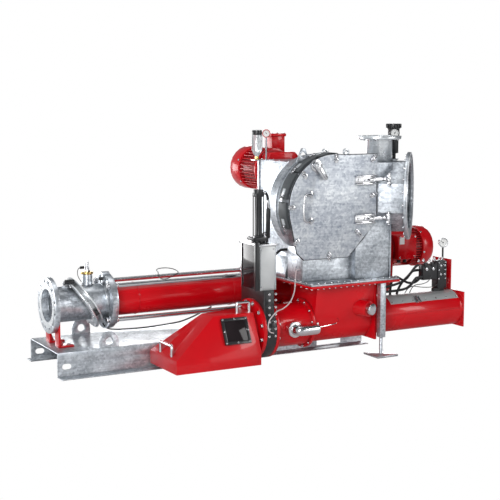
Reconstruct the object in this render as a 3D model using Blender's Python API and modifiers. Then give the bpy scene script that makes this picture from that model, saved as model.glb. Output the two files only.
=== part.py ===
"""Screw feeder for solids: a sieve drum with a hinged door over a red screw trough, a progressing
cavity pump behind it and a debris line with a knife gate in front, all on one pressed base.
Metres, +Z up. X runs along the pump, the door faces -Y, and the origin is on the floor at the
middle of the whole machine."""

from math import acos, asin, atan2, cos, pi, radians, sin, sqrt, tan

import bmesh
import bpy
from mathutils import Matrix, Vector

GAP = 0.0003

BASE_LENGTH = 2.17
BASE_RIGHT = 0.74
BASE_LEFT = BASE_RIGHT - BASE_LENGTH
BASE_WIDTH = 0.50
BASE_HEIGHT = 0.15
BASE_FOOT = 0.08
BASE_SHEET = 0.006
SLOT_INSET = 0.058
SLOT_Z = 0.064
SLOT_LENGTH = 0.058
SLOT_HEIGHT = 0.034
FORK_X = 0.475
FORK_WIDTH = 0.19
FORK_HEIGHT = 0.09
LUG_INSET = 0.332
LUG_WIDTH = 0.122
LUG_HEIGHT = 0.10
LUG_HOLE_R = 0.024
LUG_SHEET = 0.012

PUMP_Y = 0.12
PUMP_Z = 0.397
PIPE_R = 0.1095
PIPE_WALL = 0.006
DISCHARGE_INSET = 0.028
DISCHARGE_FACE = BASE_LEFT + DISCHARGE_INSET
DISCHARGE_FLANGE_R = 0.172
DISCHARGE_FLANGE_T = 0.028
DISCHARGE_HOLES = 12
HOLE_R = 0.0095
SUPPORT_SHEET = 0.012
SUPPORT_HALF_Y = 0.12
SUPPORT_LEG = 0.07
SUPPORT_ARCH_TOP = 0.25
SUPPORT_FOOT_REACH = 0.127
SUPPORT_GUSSET = 0.03
SUPPORT_GUSSET_HEIGHT = 0.10
OUTLET_LENGTH = 0.232
COLLAR_X = DISCHARGE_FACE + OUTLET_LENGTH
COLLAR_TILT = radians(32)
COLLAR_R = 0.175
COLLAR_T = 0.045
NOZZLE_OFFSET = 0.03
NOZZLE_X = COLLAR_X + NOZZLE_OFFSET
NOZZLE_R = 0.032
NOZZLE_HEIGHT = 0.066
SENSOR_R = 0.014
SENSOR_HEIGHT = 0.08
CLAMP_OFFSET = 0.10
CLAMP_T = 0.04
CLAMP_LEFT = NOZZLE_X + CLAMP_OFFSET
CLAMP_RIGHT = CLAMP_LEFT + CLAMP_T
CLAMP_R = 0.173
EAR_R = 0.045
EAR_T = 0.012
EAR_DROP = 0.035
EAR_SLOT_WIDTH = 0.014
EAR_SLOT_HEIGHT = 0.05
STATOR_R = 0.10
TIE_ROD_CIRCLE_R = 0.15
TIE_ROD_R = 0.014
CASING_LEFT = 0.02
CASING_R = 0.13
CASING_FLANGE_R = 0.17
CASING_FLANGE_T = 0.03
SADDLE_XS = (0.20, 0.62)
SADDLE_SHEET = 0.012
SADDLE_HALF_Y = 0.11

TROUGH_LEFT = 0.07
TROUGH_RIGHT = 0.74
TROUGH_FRONT = -0.56
TROUGH_BACK = 0.26
TROUGH_TOP = 0.49
TROUGH_PLATE = 0.015
SCREW_Y = -0.33
SCREW_Z = 0.222
SCREW_R = 0.125
BODY_LEFT = 0.152
BODY_RIGHT = 0.588
BODY_HALF_TOP = 0.165
END_PLATE_T = 0.014
END_PLATE_HALF_Y = 0.17
END_PLATE_LOW = 0.10
TUBE_R = 0.118
TUBE_RIGHT = 1.35
TUBE_END_T = 0.012
TUBE_END_HALF = 0.12
COVER_T = 0.004
BRANCH_AT = (0.437, 0.313)
BRANCH_TURN = radians(-70)
BRANCH_R = 0.052
BRANCH_REACH = 0.225
CAP_R = 0.038
CAP_T = 0.03
DRAIN_X = -0.012
DRAIN_R = 0.026
DRAIN_SEAT = -0.478
DRAIN_Y = -0.548
DRAIN_RIGHT = 0.13
DRAIN_BOSS_R = 0.042
UNION_R = 0.05
UNION_T = 0.03

LEG_X = 0.614
LEG_Y = -0.535
LEG_SIDE = 0.042
LEG_BOTTOM = 0.12
FOOT_HALF = 0.08
FOOT_T = 0.012
FOOT_STEM_R = 0.011

HOOD_LEFT = -0.844
HOOD_RIGHT = -0.275
HOOD_FRONT = -0.54
HOOD_BACK = -0.16
HOOD_LOW = 0.035
HOOD_EAVE = 0.118
HOOD_TOP = 0.343
HOOD_TOP_LEFT = -0.549
HOOD_TOP_FRONT = -0.44
HOOD_TOP_BACK = -0.24
HOOD_CORNER = (-0.568, -0.316)
HOOD_SHEET = 0.004
GRIP_R = 0.0075
GRIP_HEIGHT = 0.065
GRIP_BEND = 0.014
GRIP_LEFT_X = -0.83
GRIP_LEFT_YS = (-0.445, -0.285)
GRIP_RIGHT_Y = -0.41
GRIP_RIGHT_XS = (-0.375, -0.29)
WINDOW_X = -0.424
WINDOW_Z = 0.248
WINDOW_WIDTH = 0.172
WINDOW_HEIGHT = 0.162
WINDOW_T = 0.014
NECK_R = 0.105
VALVE_LEFT = -0.22
VALVE_RIGHT = -0.15
VALVE_R = 0.19
VALVE_TOP = 0.478
VALVE_HALF_Y = 0.15
VALVE_FLANGE_T = 0.022
DEBRIS_PIPE_R = 0.135
DEBRIS_FLANGE_R = 0.155
GUARD_Y = -0.34
GUARD_HALF_Y = 0.12
GUARD_LEFT = -0.24
GUARD_RIGHT = -0.13
GUARD_TOP = 0.75
GUARD_SHEET = 0.006
ACTUATOR_R = 0.0225
SPINDLE_R = 0.012
ACTUATOR_TOP = 1.09
ACTUATOR_PLATE_T = 0.014

HOUSING_LEFT = 0.12
HOUSING_RIGHT = 0.72
HOUSING_FRONT = -0.48
HOUSING_MIDDLE = -0.24
HOUSING_BACK = 0.21
HOUSING_TOP = 1.24
HOUSING_LIP = 0.01
PANEL_FRONT = -0.425
PANEL_LEFT = 0.085
PANEL_RIGHT = 0.45
PANEL_TOP = 0.84

DRUM_X = 0.265
DRUM_Z = 0.978
DRUM_R = 0.318
DRUM_SHEET = 0.004
DRUM_FRONT = -0.4997
DRUM_RING_R = 0.328
DRUM_RING_Y = -0.335
DRUM_RING_T = 0.012
BAND_R = 0.334
BAND_FRONT = -0.475
BAND_BACK = -0.385
BAND_START = radians(96)
BAND_END = radians(232)

DOOR_R = 0.325
DOOR_T = 0.010
DOOR_FACE = -0.51
DOOR_TOP = 1.298
DOOR_RIGHT = 0.58
DOOR_CHAMFER_TOP = 0.865
DOOR_CHAMFER_X = 0.37
DOOR_LOW = 0.655
DOOR_LOW_X = 0.045
DOOR_SIDE_X = -0.005
DOOR_SIDE_Z = 0.70
DOOR_ARC_END = radians(198)
HINGE_X = 0.645
HINGE_Y = -0.555
HINGE_ZS = (1.137, 0.89)
HINGE_EYE_R = 0.013
HINGE_PIN_R = 0.007
HINGE_EYE_HALF = 0.016
HINGE_PIN_HALF = 0.034
HINGE_ARM_HALF = 0.012
HINGE_ARM_T = 0.009
HINGE_ARM_SHIFT = 0.0225
STRAP_LEFT = 0.416
STRAP_HEIGHT = 0.058
STRAP_T = 0.022
HANDLE_X = 0.088
HANDLE_ZS = (1.058, 0.90)
HANDLE_REACH = 0.045
HANDLE_R = 0.009
HANDLE_LEAN = 0.07
LATCH_X = 0.123
LATCH_Z = 1.238
LATCH_REACH = 0.095
LATCH_HALF_WIDTH = 0.02
LATCH_T = 0.012
LATCH_STAND = 0.016
LATCH_BOSS_R = 0.018
LATCH_ANGLE = radians(-53)

DUCT_X = 0.738
DUCT_Y = -0.31
DUCT_TURN = radians(-41)
DUCT_FLAT = 0.45
DUCT_REACH = 0.2045
DUCT_SHEET = 0.004
INLET_FLANGE_R = 0.286
INLET_FLANGE_T = 0.020
INLET_BORE_R = 0.215
TOP_PIPE_R = 0.084
TOP_PIPE_WALL = 0.006
TOP_FLANGE_R = 0.1435
TOP_FLANGE_T = 0.02
TOP_NOZZLE_HEIGHT = 0.165

MIXER_X = 0.295
MIXER_Z = 1.165
MIXER_BOX_T = 0.09
MIXER_BOX_BACK = HOUSING_BACK + MIXER_BOX_T
MIXER_BOX_R = 0.125
MIXER_BOX_TOP = 1.286
MIXER_BOX_LEFT = 0.20
MIXER_BOX_RIGHT = 0.436
MIXER_BOX_CORNER = 0.024
MIXER_R = 0.122
MIXER_COWL_R = 0.15
MIXER_LENGTH = 0.36
MIXER_COWL_LENGTH = 0.12
TERMINAL_X = 0.335
TERMINAL_OFFSET = 0.06
TERMINAL_SIDE = 0.10
TERMINAL_HEIGHT = 0.242

ADAPTER_LENGTH = 0.18
GEARBOX_T = 0.16
GEARBOX_LEFT = TROUGH_RIGHT + ADAPTER_LENGTH
GEARBOX_RIGHT = GEARBOX_LEFT + GEARBOX_T
ADAPTER_R = 0.09
ADAPTER_FLANGE_R = 0.12
ADAPTER_FLANGE_T = 0.02
PUMP_GEAR_R = 0.13
MOTOR_GEAR_R = 0.12
MOTOR_Y = 0.10
MOTOR_Z = 0.60
MOTOR_R = 0.115
MOTOR_COWL_R = 0.145
MOTOR_LENGTH = 0.35
MOTOR_COWL_LENGTH = 0.115
MOTOR_COWL_END_R = 0.10
MOTOR_COWL_DOME = 0.045
PUMP_BOX_INSET = 0.005
PUMP_BOX_LENGTH = 0.15
PUMP_BOX_REACH = 0.165
PUMP_BOX_DROP = 0.065
PUMP_BOX_RISE = 0.10

RESERVOIR_X = 0.078
RESERVOIR_Y = 0.15
RESERVOIR_R = 0.033
SMALL_GAUGE_R = 0.026
GAUGE_SPACING = 0.061
RESERVOIR_HEIGHT = 0.1934
RESERVOIR_CAP_T = 0.032
RESERVOIR_STEM_R = 0.012
RESERVOIR_STEM = 0.02
RESERVOIR_CONE = 0.035
BRACKET_T = 0.006
GAUGE_R = 0.0315
GAUGE_T = 0.028
GAUGE_STEM_R = 0.006
RESERVOIR_GAUGE_HEIGHT = 0.178
REGULATOR_ALONG = 0.072
REGULATOR_ACROSS = 0.2126
REGULATOR_BAR_START = 0.077
REGULATOR_CAP_R = 0.047
REGULATOR_CAP_T = 0.03
REGULATOR_BODY_R = 0.04
REGULATOR_BODY_DROP = 0.095
REGULATOR_STEP = 0.005
REGULATOR_DIAL_DROP = 0.062
BOWL_DROP = 0.195
BOWL_R = 0.034
REGULATOR_HEIGHT = 0.24

BLOCK_INSET = 0.08
BLOCK_LENGTH = 0.07
BLOCK_RIGHT = TUBE_RIGHT - BLOCK_INSET
BLOCK_LEFT = BLOCK_RIGHT - BLOCK_LENGTH
BLOCK_FRONT = -0.365
BLOCK_BACK = -0.295
BLOCK_TOP = 0.552
MANIFOLD_LENGTH = 0.12
MANIFOLD_LEFT = BLOCK_LEFT - MANIFOLD_LENGTH
BLOCK_STAND = 0.02
HYDRAULIC_GAUGE_Z = 0.674
BRACKET_INSET = 0.016
BRACKET_FRONT = -0.33
BRACKET_BACK = -0.13
BRACKET_TOP = 0.552
HOSE_R = 0.009
CABLE_R = 0.0035

COLOURS = {
    "red": ((0.62, 0.03, 0.02), 0.30, 0.0),
    "zinc": ((0.55, 0.58, 0.60), 0.42, 0.9),
    "steel": ((0.72, 0.72, 0.72), 0.25, 1.0),
    "black": ((0.02, 0.02, 0.022), 0.45, 0.0),
    "dark": ((0.10, 0.11, 0.12), 0.50, 0.0),
    "grey": ((0.62, 0.63, 0.63), 0.45, 0.0),
    "smoke": ((0.05, 0.04, 0.04), 0.10, 0.0),
    "clear": ((0.75, 0.78, 0.76), 0.10, 0.0),
    "rubber": ((0.015, 0.015, 0.015), 0.70, 0.0),
    "dial": ((0.85, 0.85, 0.83), 0.30, 0.0),
}

ALONG_X = Matrix.Rotation(radians(90), 4, "Y")
ALONG_Y = Matrix.Rotation(radians(-90), 4, "X")
ALONG_Z = Matrix.Identity(4)
ALONG_DUCT = Matrix.Rotation(DUCT_TURN, 4, "Z") @ ALONG_X
FLAT_UP = Matrix.Rotation(radians(22.5), 4, "Z")


def clear_scene():
    for obj in list(bpy.data.objects):
        bpy.data.objects.remove(obj)


def new_collection(name):
    collection = bpy.data.collections.new(name)
    bpy.context.scene.collection.children.link(collection)
    return collection


clear_scene()
PARTS = new_collection("screw_feeder")
CUTTERS = new_collection("cutters")


def material(name, colour):
    base, roughness, metallic = COLOURS[colour]
    made = bpy.data.materials.new(f"{name}_{colour}")
    made.use_nodes = True
    shader = made.node_tree.nodes["Principled BSDF"]
    shader.inputs["Base Color"].default_value = (*base, 1.0)
    shader.inputs["Roughness"].default_value = roughness
    shader.inputs["Metallic"].default_value = metallic
    return made


def place(obj, name, colour):
    """Puts an object among the parts with its own material, or among the cutters."""
    obj.name = name
    if colour is None:
        CUTTERS.objects.link(obj)
        obj.hide_render = True
        obj.display_type = "WIRE"
        return obj
    PARTS.objects.link(obj)
    obj.data.materials.append(material(name, colour))
    if obj.type == "MESH":
        obj.data.shade_smooth()
        obj.data.set_sharp_from_angle(angle=radians(35))
    return obj


def block(name, low, high, colour=None):
    """A box between two corners."""
    low, high = Vector(low), Vector(high)
    mesh = bpy.data.meshes.new(name)
    shape = bmesh.new()
    bmesh.ops.create_cube(shape, size=1, matrix=Matrix.Diagonal((*(high - low), 1)))
    shape.to_mesh(mesh)
    shape.free()
    obj = bpy.data.objects.new(name, mesh)
    obj.location = (low + high) / 2
    return place(obj, name, colour)


def turned(name, profile, at, turn, colour=None, steps=24, closed=False):
    """A turned shape. The profile is (radius, height) down the outer side, then up the bore."""
    mesh = bpy.data.meshes.new(name)
    points = [(radius, 0, height) for radius, height in profile]
    count = len(points)
    edges = [(i, (i + 1) % count) for i in range(count if closed else count - 1)]
    mesh.from_pydata(points, edges, [])
    obj = bpy.data.objects.new(name, mesh)
    screw = obj.modifiers.new("turn", "SCREW")
    screw.steps = screw.render_steps = steps
    screw.use_merge_vertices = True
    screw.merge_threshold = 0.00001
    screw.use_smooth_shade = False
    obj.matrix_world = Matrix.Translation(at) @ turn
    return place(obj, name, colour)


def rod(name, radius, low, high, at, turn, colour=None, steps=24):
    """A solid round bar from one height to the other along its axis."""
    profile = [(0, high), (radius, high), (radius, low), (0, low)]
    return turned(name, profile, at, turn, colour, steps)


def ring(name, inner, outer, low, high, at, turn, colour=None, steps=24):
    """A tube or washer."""
    profile = [(outer, high), (outer, low), (inner, low), (inner, high)]
    return turned(name, profile, at, turn, colour, steps, closed=True)


def solid_from_curve(curve, matrix, name, colour):
    """Makes a curve object a mesh with welded caps."""
    guide = bpy.data.objects.new(name, curve)
    CUTTERS.objects.link(guide)
    guide.matrix_world = matrix
    bpy.context.view_layer.update()
    graph = bpy.context.evaluated_depsgraph_get()
    mesh = bpy.data.meshes.new_from_object(guide.evaluated_get(graph))
    bpy.data.objects.remove(guide)
    shape = bmesh.new()
    shape.from_mesh(mesh)
    bmesh.ops.remove_doubles(shape, verts=shape.verts, dist=0.00001)
    bmesh.ops.recalc_face_normals(shape, faces=shape.faces)
    shape.to_mesh(mesh)
    shape.free()
    obj = bpy.data.objects.new(name, mesh)
    obj.matrix_world = matrix
    return place(obj, name, colour)


def plate(name, points, low, high, facing, colour=None):
    """A flat outline with a thickness from low to high along the axis that it faces."""
    curve = bpy.data.curves.new(name, "CURVE")
    curve.dimensions = "2D"
    curve.fill_mode = "BOTH"
    curve.extrude = (high - low) / 2
    spline = curve.splines.new("POLY")
    spline.points.add(len(points) - 1)
    for point, (across, up) in zip(spline.points, points):
        point.co = (across, up, 0, 1)
    spline.use_cyclic_u = True
    middle = (low + high) / 2
    if facing == "Y":
        matrix = Matrix.Translation((0, middle, 0)) @ Matrix.Rotation(radians(90), 4, "X")
    elif facing == "X":
        columns = ((0, 0, 1), (1, 0, 0), (0, 1, 0))
        matrix = Matrix.Translation((middle, 0, 0)) @ Matrix(columns).to_4x4()
    else:
        matrix = Matrix.Translation((0, 0, middle))
    return solid_from_curve(curve, matrix, name, colour)


def smooth_route(route, spacing):
    """Points about a spacing apart on a smooth curve through a route's points."""
    route = [Vector(point) for point in route]
    ends = [2 * route[0] - route[1], *route, 2 * route[-1] - route[-2]]
    points = []
    for before, start, end, after in zip(ends, ends[1:], ends[2:], ends[3:]):
        pieces = max(1, round((end - start).length / spacing))
        for step in range(pieces):
            t = step / pieces
            bend = (2 * start + (end - before) * t
                    + (2 * before - 5 * start + 4 * end - after) * t * t
                    + (3 * start - before - 3 * end + after) * t * t * t)
            points.append(bend / 2)
    return [*points, route[-1]]


def hose(name, route, radius, colour=None, spacing=None):
    """A round bar, pipe or cable bent along a route."""
    points = smooth_route(route, spacing or radius * 5)
    curve = bpy.data.curves.new(name, "CURVE")
    curve.dimensions = "3D"
    curve.bevel_depth = radius
    curve.bevel_resolution = 2
    curve.use_fill_caps = True
    spline = curve.splines.new("POLY")
    spline.points.add(len(points) - 1)
    for point, place_on in zip(spline.points, points):
        point.co = (*place_on, 1)
    return solid_from_curve(curve, Matrix.Identity(4), name, colour)


def change(obj, operation, others, solver="EXACT"):
    for other in others:
        boolean = obj.modifiers.new(other.name, "BOOLEAN")
        boolean.operation = operation
        boolean.solver = solver
        boolean.object = other
    return obj


def cut(obj, *cutters):
    return change(obj, "DIFFERENCE", cutters)


def join(obj, *others):
    return change(obj, "UNION", others)


def arc(centre, radius, start, end, pieces):
    """Points on an arc from one angle to the other."""
    angles = [start + (end - start) * step / pieces for step in range(pieces + 1)]
    return [(centre[0] + radius * cos(angle), centre[1] + radius * sin(angle)) for angle in angles]


def half_space(name, at, turn):
    """A cutter that removes everything past a plane, on the side of its own +Z."""
    side = 1.0
    cutter = block(name, (-side / 2, -side / 2, 0), (side / 2, side / 2, side))
    cutter.matrix_world = Matrix.Translation(at) @ turn @ Matrix.Translation((0, 0, side / 2))
    return cutter


BASE_TOP = BASE_HEIGHT
WEB_FRONT = PUMP_Y - BASE_WIDTH / 2
WEB_BACK = PUMP_Y + BASE_WIDTH / 2
SLOT_X = BASE_LEFT + SLOT_INSET
LUG_X = BASE_LEFT + LUG_INSET


def lifting_lug(name, y_low):
    """A rounded plate with a shackle hole, which faces along Y."""
    width = LUG_WIDTH / 2
    shoulder = BASE_TOP + LUG_HEIGHT - width
    outline = [(LUG_X + width, BASE_TOP - BASE_SHEET / 2)]
    outline += arc((LUG_X, shoulder), width, 0, pi, 10)
    outline.append((LUG_X - width, BASE_TOP - BASE_SHEET / 2))
    return plate(name, outline, y_low, y_low + LUG_SHEET, "Y")


def base_frame():
    """The pressed hat section that everything stands on, with slots, fork openings and lugs."""
    front, back, sheet = WEB_FRONT, WEB_BACK, BASE_SHEET
    outline = [(front - BASE_FOOT, 0), (front + sheet, 0), (front + sheet, BASE_TOP - sheet),
               (back - sheet, BASE_TOP - sheet), (back - sheet, 0), (back + BASE_FOOT, 0),
               (back + BASE_FOOT, sheet), (back, sheet), (back, BASE_TOP), (front, BASE_TOP),
               (front, sheet), (front - BASE_FOOT, sheet)]
    base = plate("base_frame", outline, BASE_LEFT, BASE_RIGHT, "X", "zinc")
    round_end = SLOT_HEIGHT / 2
    reach = SLOT_LENGTH / 2 - round_end
    outline = arc((SLOT_X + reach, SLOT_Z), round_end, -pi / 2, pi / 2, 6)
    outline += arc((SLOT_X - reach, SLOT_Z), round_end, pi / 2, 3 * pi / 2, 6)
    slot = plate("slot_cutter", outline, front - sheet, back + sheet, "Y")
    fork = block("fork_cutter", (FORK_X - FORK_WIDTH / 2, front - sheet, sheet * 2),
                 (FORK_X + FORK_WIDTH / 2, back + sheet, sheet * 2 + FORK_HEIGHT))
    join(base, lifting_lug("lug_front", front + sheet), lifting_lug("lug_back", back - sheet - LUG_SHEET))
    holes = rod("lug_holes", LUG_HOLE_R, front - BASE_FOOT, back + BASE_FOOT,
                (LUG_X, 0, BASE_TOP + LUG_HEIGHT - LUG_WIDTH / 2), ALONG_Y, steps=16)
    cut(base, slot, fork, holes)


def holes_around(name, count, circle, radius, low, high, at, turn):
    """Bolt holes in a flange, as one cutter each."""
    cutters = []
    for index in range(count):
        spin = Matrix.Rotation(2 * pi * (index + 0.5) / count, 4, "Z")
        centre = Matrix.Translation(at) @ turn @ spin @ Vector((circle, 0, 0))
        cutters.append(rod(f"{name}_{index}", radius, low, high, centre, turn, steps=8))
    return cutters


def collar_plane(shift):
    """The place and turn of the oblique joint's plane, moved along its own normal."""
    turn = Matrix.Rotation(pi / 2 - COLLAR_TILT, 4, "Y")
    normal = turn @ Vector((0, 0, 1))
    return Vector((COLLAR_X, PUMP_Y, PUMP_Z)) + normal * shift, turn


def discharge_line():
    """The flanged outlet, its oblique clamp collar and the pipe with the pressure tapping."""
    at = (0, PUMP_Y, PUMP_Z)
    bore = PIPE_R - PIPE_WALL
    left = DISCHARGE_FACE
    face = left + DISCHARGE_FLANGE_T
    reach = COLLAR_X + COLLAR_R
    profile = [(PIPE_R, reach), (PIPE_R, face), (DISCHARGE_FLANGE_R, face), (DISCHARGE_FLANGE_R, left),
               (bore, left), (bore, reach)]
    outlet = turned("discharge_pipe", profile, at, ALONG_X, "zinc", 32, closed=True)
    circle = (DISCHARGE_FLANGE_R + PIPE_R) / 2 + HOLE_R / 2
    cut(outlet, *holes_around("discharge_hole", DISCHARGE_HOLES, circle, HOLE_R, left - BASE_SHEET,
                              face + BASE_SHEET, at, ALONG_X))
    where, turn = collar_plane(-GAP / 2)
    cut(outlet, half_space("outlet_end", where, turn))
    end = CLAMP_LEFT - EAR_T - GAP
    rear = ring("sensor_pipe", bore, PIPE_R, COLLAR_X - COLLAR_R, end, at, ALONG_X, "zinc", 32)
    where, turn = collar_plane(GAP / 2)
    cut(rear, half_space("rear_start", where, turn @ Matrix.Rotation(pi, 4, "X")))
    join(rear, rod("pressure_stub", NOZZLE_R, PUMP_Z + bore, PUMP_Z + PIPE_R + NOZZLE_HEIGHT,
                   (NOZZLE_X, PUMP_Y, 0), ALONG_Z, steps=16))
    where, turn = collar_plane(0)
    collar = rod("oblique_collar", COLLAR_R, -COLLAR_T / 2, COLLAR_T / 2, where, turn, "zinc", 32)
    cut(collar, rod("collar_bore", PIPE_R + GAP, COLLAR_X - 2 * COLLAR_R, COLLAR_X + 2 * COLLAR_R,
                    at, ALONG_X, steps=32))


def discharge_support():
    """The cradle plate behind the outlet's flange, on two legs that each have a foot and a gusset."""
    low = BASE_TOP + GAP
    left = DISCHARGE_FACE + DISCHARGE_FLANGE_T + GAP
    sheet = SUPPORT_SHEET
    right = left + sheet
    inset = 4 * GAP
    cradle = block("discharge_support", (left + inset, PUMP_Y - SUPPORT_HALF_Y, low + sheet / 3),
                   (right, PUMP_Y + SUPPORT_HALF_Y, PUMP_Z - PIPE_R / 2), "red")
    inner = SUPPORT_HALF_Y - SUPPORT_LEG
    gusset = [(right - sheet / 2, low + sheet / 2), (right + SUPPORT_GUSSET, low + sheet / 2),
              (right - sheet / 2, low + SUPPORT_GUSSET_HEIGHT)]
    for side in (-1, 1):
        near, far = sorted((PUMP_Y + side * inner, PUMP_Y + side * SUPPORT_HALF_Y))
        middle = (near + far) / 2
        foot = block(f"support_foot_{side}", (left, near + inset, low),
                     (DISCHARGE_FACE + SUPPORT_FOOT_REACH, far - inset, low + sheet))
        join(cradle, foot,
             plate(f"support_gusset_{side}", gusset, middle - sheet / 2, middle + sheet / 2, "Y"))
    cut(cradle, block("support_arch", (left - sheet, PUMP_Y - inner, low - sheet),
                      (right + sheet, PUMP_Y + inner, SUPPORT_ARCH_TOP)),
        rod("cradle_cutter", PIPE_R + GAP, left - sheet, right + sheet, (0, PUMP_Y, PUMP_Z), ALONG_X,
            steps=32))


def pressure_tapping():
    """The sensor on the pipe's stub."""
    low = PUMP_Z + PIPE_R + NOZZLE_HEIGHT + GAP
    profile = [(0, low + SENSOR_HEIGHT), (SENSOR_R, low + SENSOR_HEIGHT), (SENSOR_R, low + 0.014),
               (NOZZLE_R * 1.2, low + 0.014), (NOZZLE_R * 1.2, low), (0, low)]
    turned("pressure_sensor", profile, (NOZZLE_X, PUMP_Y, 0), ALONG_Z, "steel", 16)


def stator():
    """The clamp ring, the stator tube, its four tie rods and the ear on the clamp."""
    at = (0, PUMP_Y, PUMP_Z)
    clamp = rod("stator_clamp", CLAMP_R, CLAMP_LEFT, CLAMP_RIGHT, at, ALONG_X, "zinc", 32)
    ear_z = PUMP_Z + CLAMP_R - EAR_DROP
    left, right = CLAMP_LEFT - EAR_T, CLAMP_RIGHT
    join(clamp, rod("clamp_hub", PIPE_R, left, right - GAP, at, ALONG_X, steps=32),
         rod("clamp_ear", EAR_R, left + GAP, right - GAP, (0, PUMP_Y, ear_z), ALONG_X, steps=20))
    cut(clamp, block("ear_slot", (left - EAR_T, PUMP_Y - EAR_SLOT_WIDTH / 2, ear_z - EAR_SLOT_HEIGHT / 2),
                     (right + EAR_T, PUMP_Y + EAR_SLOT_WIDTH / 2, ear_z + EAR_SLOT_HEIGHT / 2)))
    rod("stator_tube", STATOR_R, CLAMP_RIGHT + GAP, CASING_LEFT - GAP, at, ALONG_X, "red", 32)
    high = CASING_LEFT - GAP
    rods = ring("tie_rods", TIE_ROD_CIRCLE_R - 1.5 * TIE_ROD_R, TIE_ROD_CIRCLE_R + 1.5 * TIE_ROD_R,
                high - TIE_ROD_R, high, at, ALONG_X, "steel", 32)
    for index in range(4):
        angle = pi / 4 + index * pi / 2
        y = PUMP_Y + TIE_ROD_CIRCLE_R * cos(angle)
        z = PUMP_Z + TIE_ROD_CIRCLE_R * sin(angle)
        join(rods, rod(f"tie_rod_{index}", TIE_ROD_R, CLAMP_RIGHT + GAP, high - TIE_ROD_R / 2, (0, y, z),
                       ALONG_X, steps=10))


FLANGE_UNDER = TROUGH_TOP - TROUGH_PLATE


def pump_casing():
    """The suction casing: a round-bottomed trough under the rear of the flange."""
    top = FLANGE_UNDER - GAP
    outline = [(PUMP_Y + CASING_R, top), (PUMP_Y - CASING_R, top)]
    outline += arc((PUMP_Y, PUMP_Z), CASING_R, pi, 2 * pi, 14)
    casing = plate("pump_casing", outline, CASING_LEFT + CASING_FLANGE_T / 2, TROUGH_RIGHT, "X", "red")
    face = rod("casing_flange", CASING_FLANGE_R, CASING_LEFT, CASING_LEFT + CASING_FLANGE_T,
               (0, PUMP_Y, PUMP_Z), ALONG_X, steps=32)
    join(casing, face)


def casing_saddle():
    """The cradle that carries the suction casing on the base: two plates on a sole."""
    low = BASE_TOP + GAP
    sheet = SADDLE_SHEET
    left, right = SADDLE_XS[0] - 3 * sheet, SADDLE_XS[1] + 3 * sheet
    saddle = block("casing_saddle", (left, PUMP_Y - SADDLE_HALF_Y, low),
                   (right, PUMP_Y + SADDLE_HALF_Y, low + sheet), "red")
    side = SADDLE_HALF_Y * 0.95
    for index, x in enumerate(SADDLE_XS):
        join(saddle, block(f"saddle_plate_{index}", (x - sheet / 2, PUMP_Y - side, low + sheet / 2),
                           (x + sheet / 2, PUMP_Y + side, PUMP_Z - CASING_R / 2)))
    cut(saddle, rod("saddle_cutter", CASING_R + 2 * GAP, left, right, (0, PUMP_Y, PUMP_Z), ALONG_X,
                    steps=28))


def screw_trough():
    """The red lower housing: flange plate, tapering body, end plate and screw tube."""
    block("trough_flange", (TROUGH_LEFT, TROUGH_FRONT, FLANGE_UNDER),
          (TROUGH_RIGHT, TROUGH_BACK, TROUGH_TOP), "red")
    top = FLANGE_UNDER - GAP
    lean = asin(SCREW_R / sqrt(BODY_HALF_TOP ** 2 + (top - SCREW_Z) ** 2))
    side = atan2(top - SCREW_Z, BODY_HALF_TOP) + lean - pi / 2
    outline = [(SCREW_Y + BODY_HALF_TOP, top), (SCREW_Y - BODY_HALF_TOP, top)]
    outline += arc((SCREW_Y, SCREW_Z), SCREW_R, pi - side, 2 * pi + side, 16)
    trough = plate("screw_trough", outline, BODY_LEFT, BODY_RIGHT, "X", "red")
    x, z = BRANCH_AT
    turn = Matrix.Rotation(BRANCH_TURN, 4, "Z") @ ALONG_X
    join(trough, block("trough_end_plate", (BODY_RIGHT - GAP, SCREW_Y - END_PLATE_HALF_Y, END_PLATE_LOW),
                       (BODY_RIGHT + END_PLATE_T, SCREW_Y + END_PLATE_HALF_Y, top)),
         rod("cleaning_branch", BRANCH_R, 0, BRANCH_REACH, (x, SCREW_Y, z), turn, steps=16))
    low = BRANCH_REACH + GAP
    rod("branch_cap", CAP_R, low, low + CAP_T, (x, SCREW_Y, z), turn, "steel", 16)
    tube_left = BODY_RIGHT + END_PLATE_T + GAP
    at = (0, SCREW_Y, SCREW_Z)
    tube = rod("trough_tube", TUBE_R, tube_left, TUBE_RIGHT - GAP, at, ALONG_X, "red", 24)
    inner = TUBE_R - COVER_T
    outline = arc((SCREW_Y, SCREW_Z), inner, radians(35), radians(175), 14)
    outline += arc((SCREW_Y, SCREW_Z), TUBE_R + COVER_T, radians(175), radians(35), 14)
    cover = plate("tube_cover", outline, tube_left + 0.05, TUBE_RIGHT - 0.03, "X")
    half = TUBE_END_HALF
    end = block("tube_end_plate", (TUBE_RIGHT - 2 * GAP, SCREW_Y - half, SCREW_Z - half),
                (TUBE_RIGHT + TUBE_END_T, SCREW_Y + half, SCREW_Z + half))
    join(tube, cover, end)


def drain_elbow():
    """The bright elbow out of the debris pipe's side, with the union that holds it."""
    seat = DRAIN_SEAT - GAP
    bend = seat - DRAIN_Y
    route = [(DRAIN_X, seat, SCREW_Z), (DRAIN_X, seat - bend * 0.3, SCREW_Z),
             (DRAIN_X + bend * 0.06, seat - bend * 0.6, SCREW_Z),
             (DRAIN_X + bend * 0.28, DRAIN_Y + bend * 0.1, SCREW_Z),
             (DRAIN_X + bend * 0.7, DRAIN_Y, SCREW_Z), (DRAIN_RIGHT - bend, DRAIN_Y, SCREW_Z),
             (DRAIN_RIGHT, DRAIN_Y, SCREW_Z)]
    elbow = hose("drain_elbow", route, DRAIN_R, "steel", DRAIN_R)
    join(elbow, rod("drain_union", UNION_R, seat - UNION_T, seat, (DRAIN_X, 0, SCREW_Z), ALONG_Y, steps=16))


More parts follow.
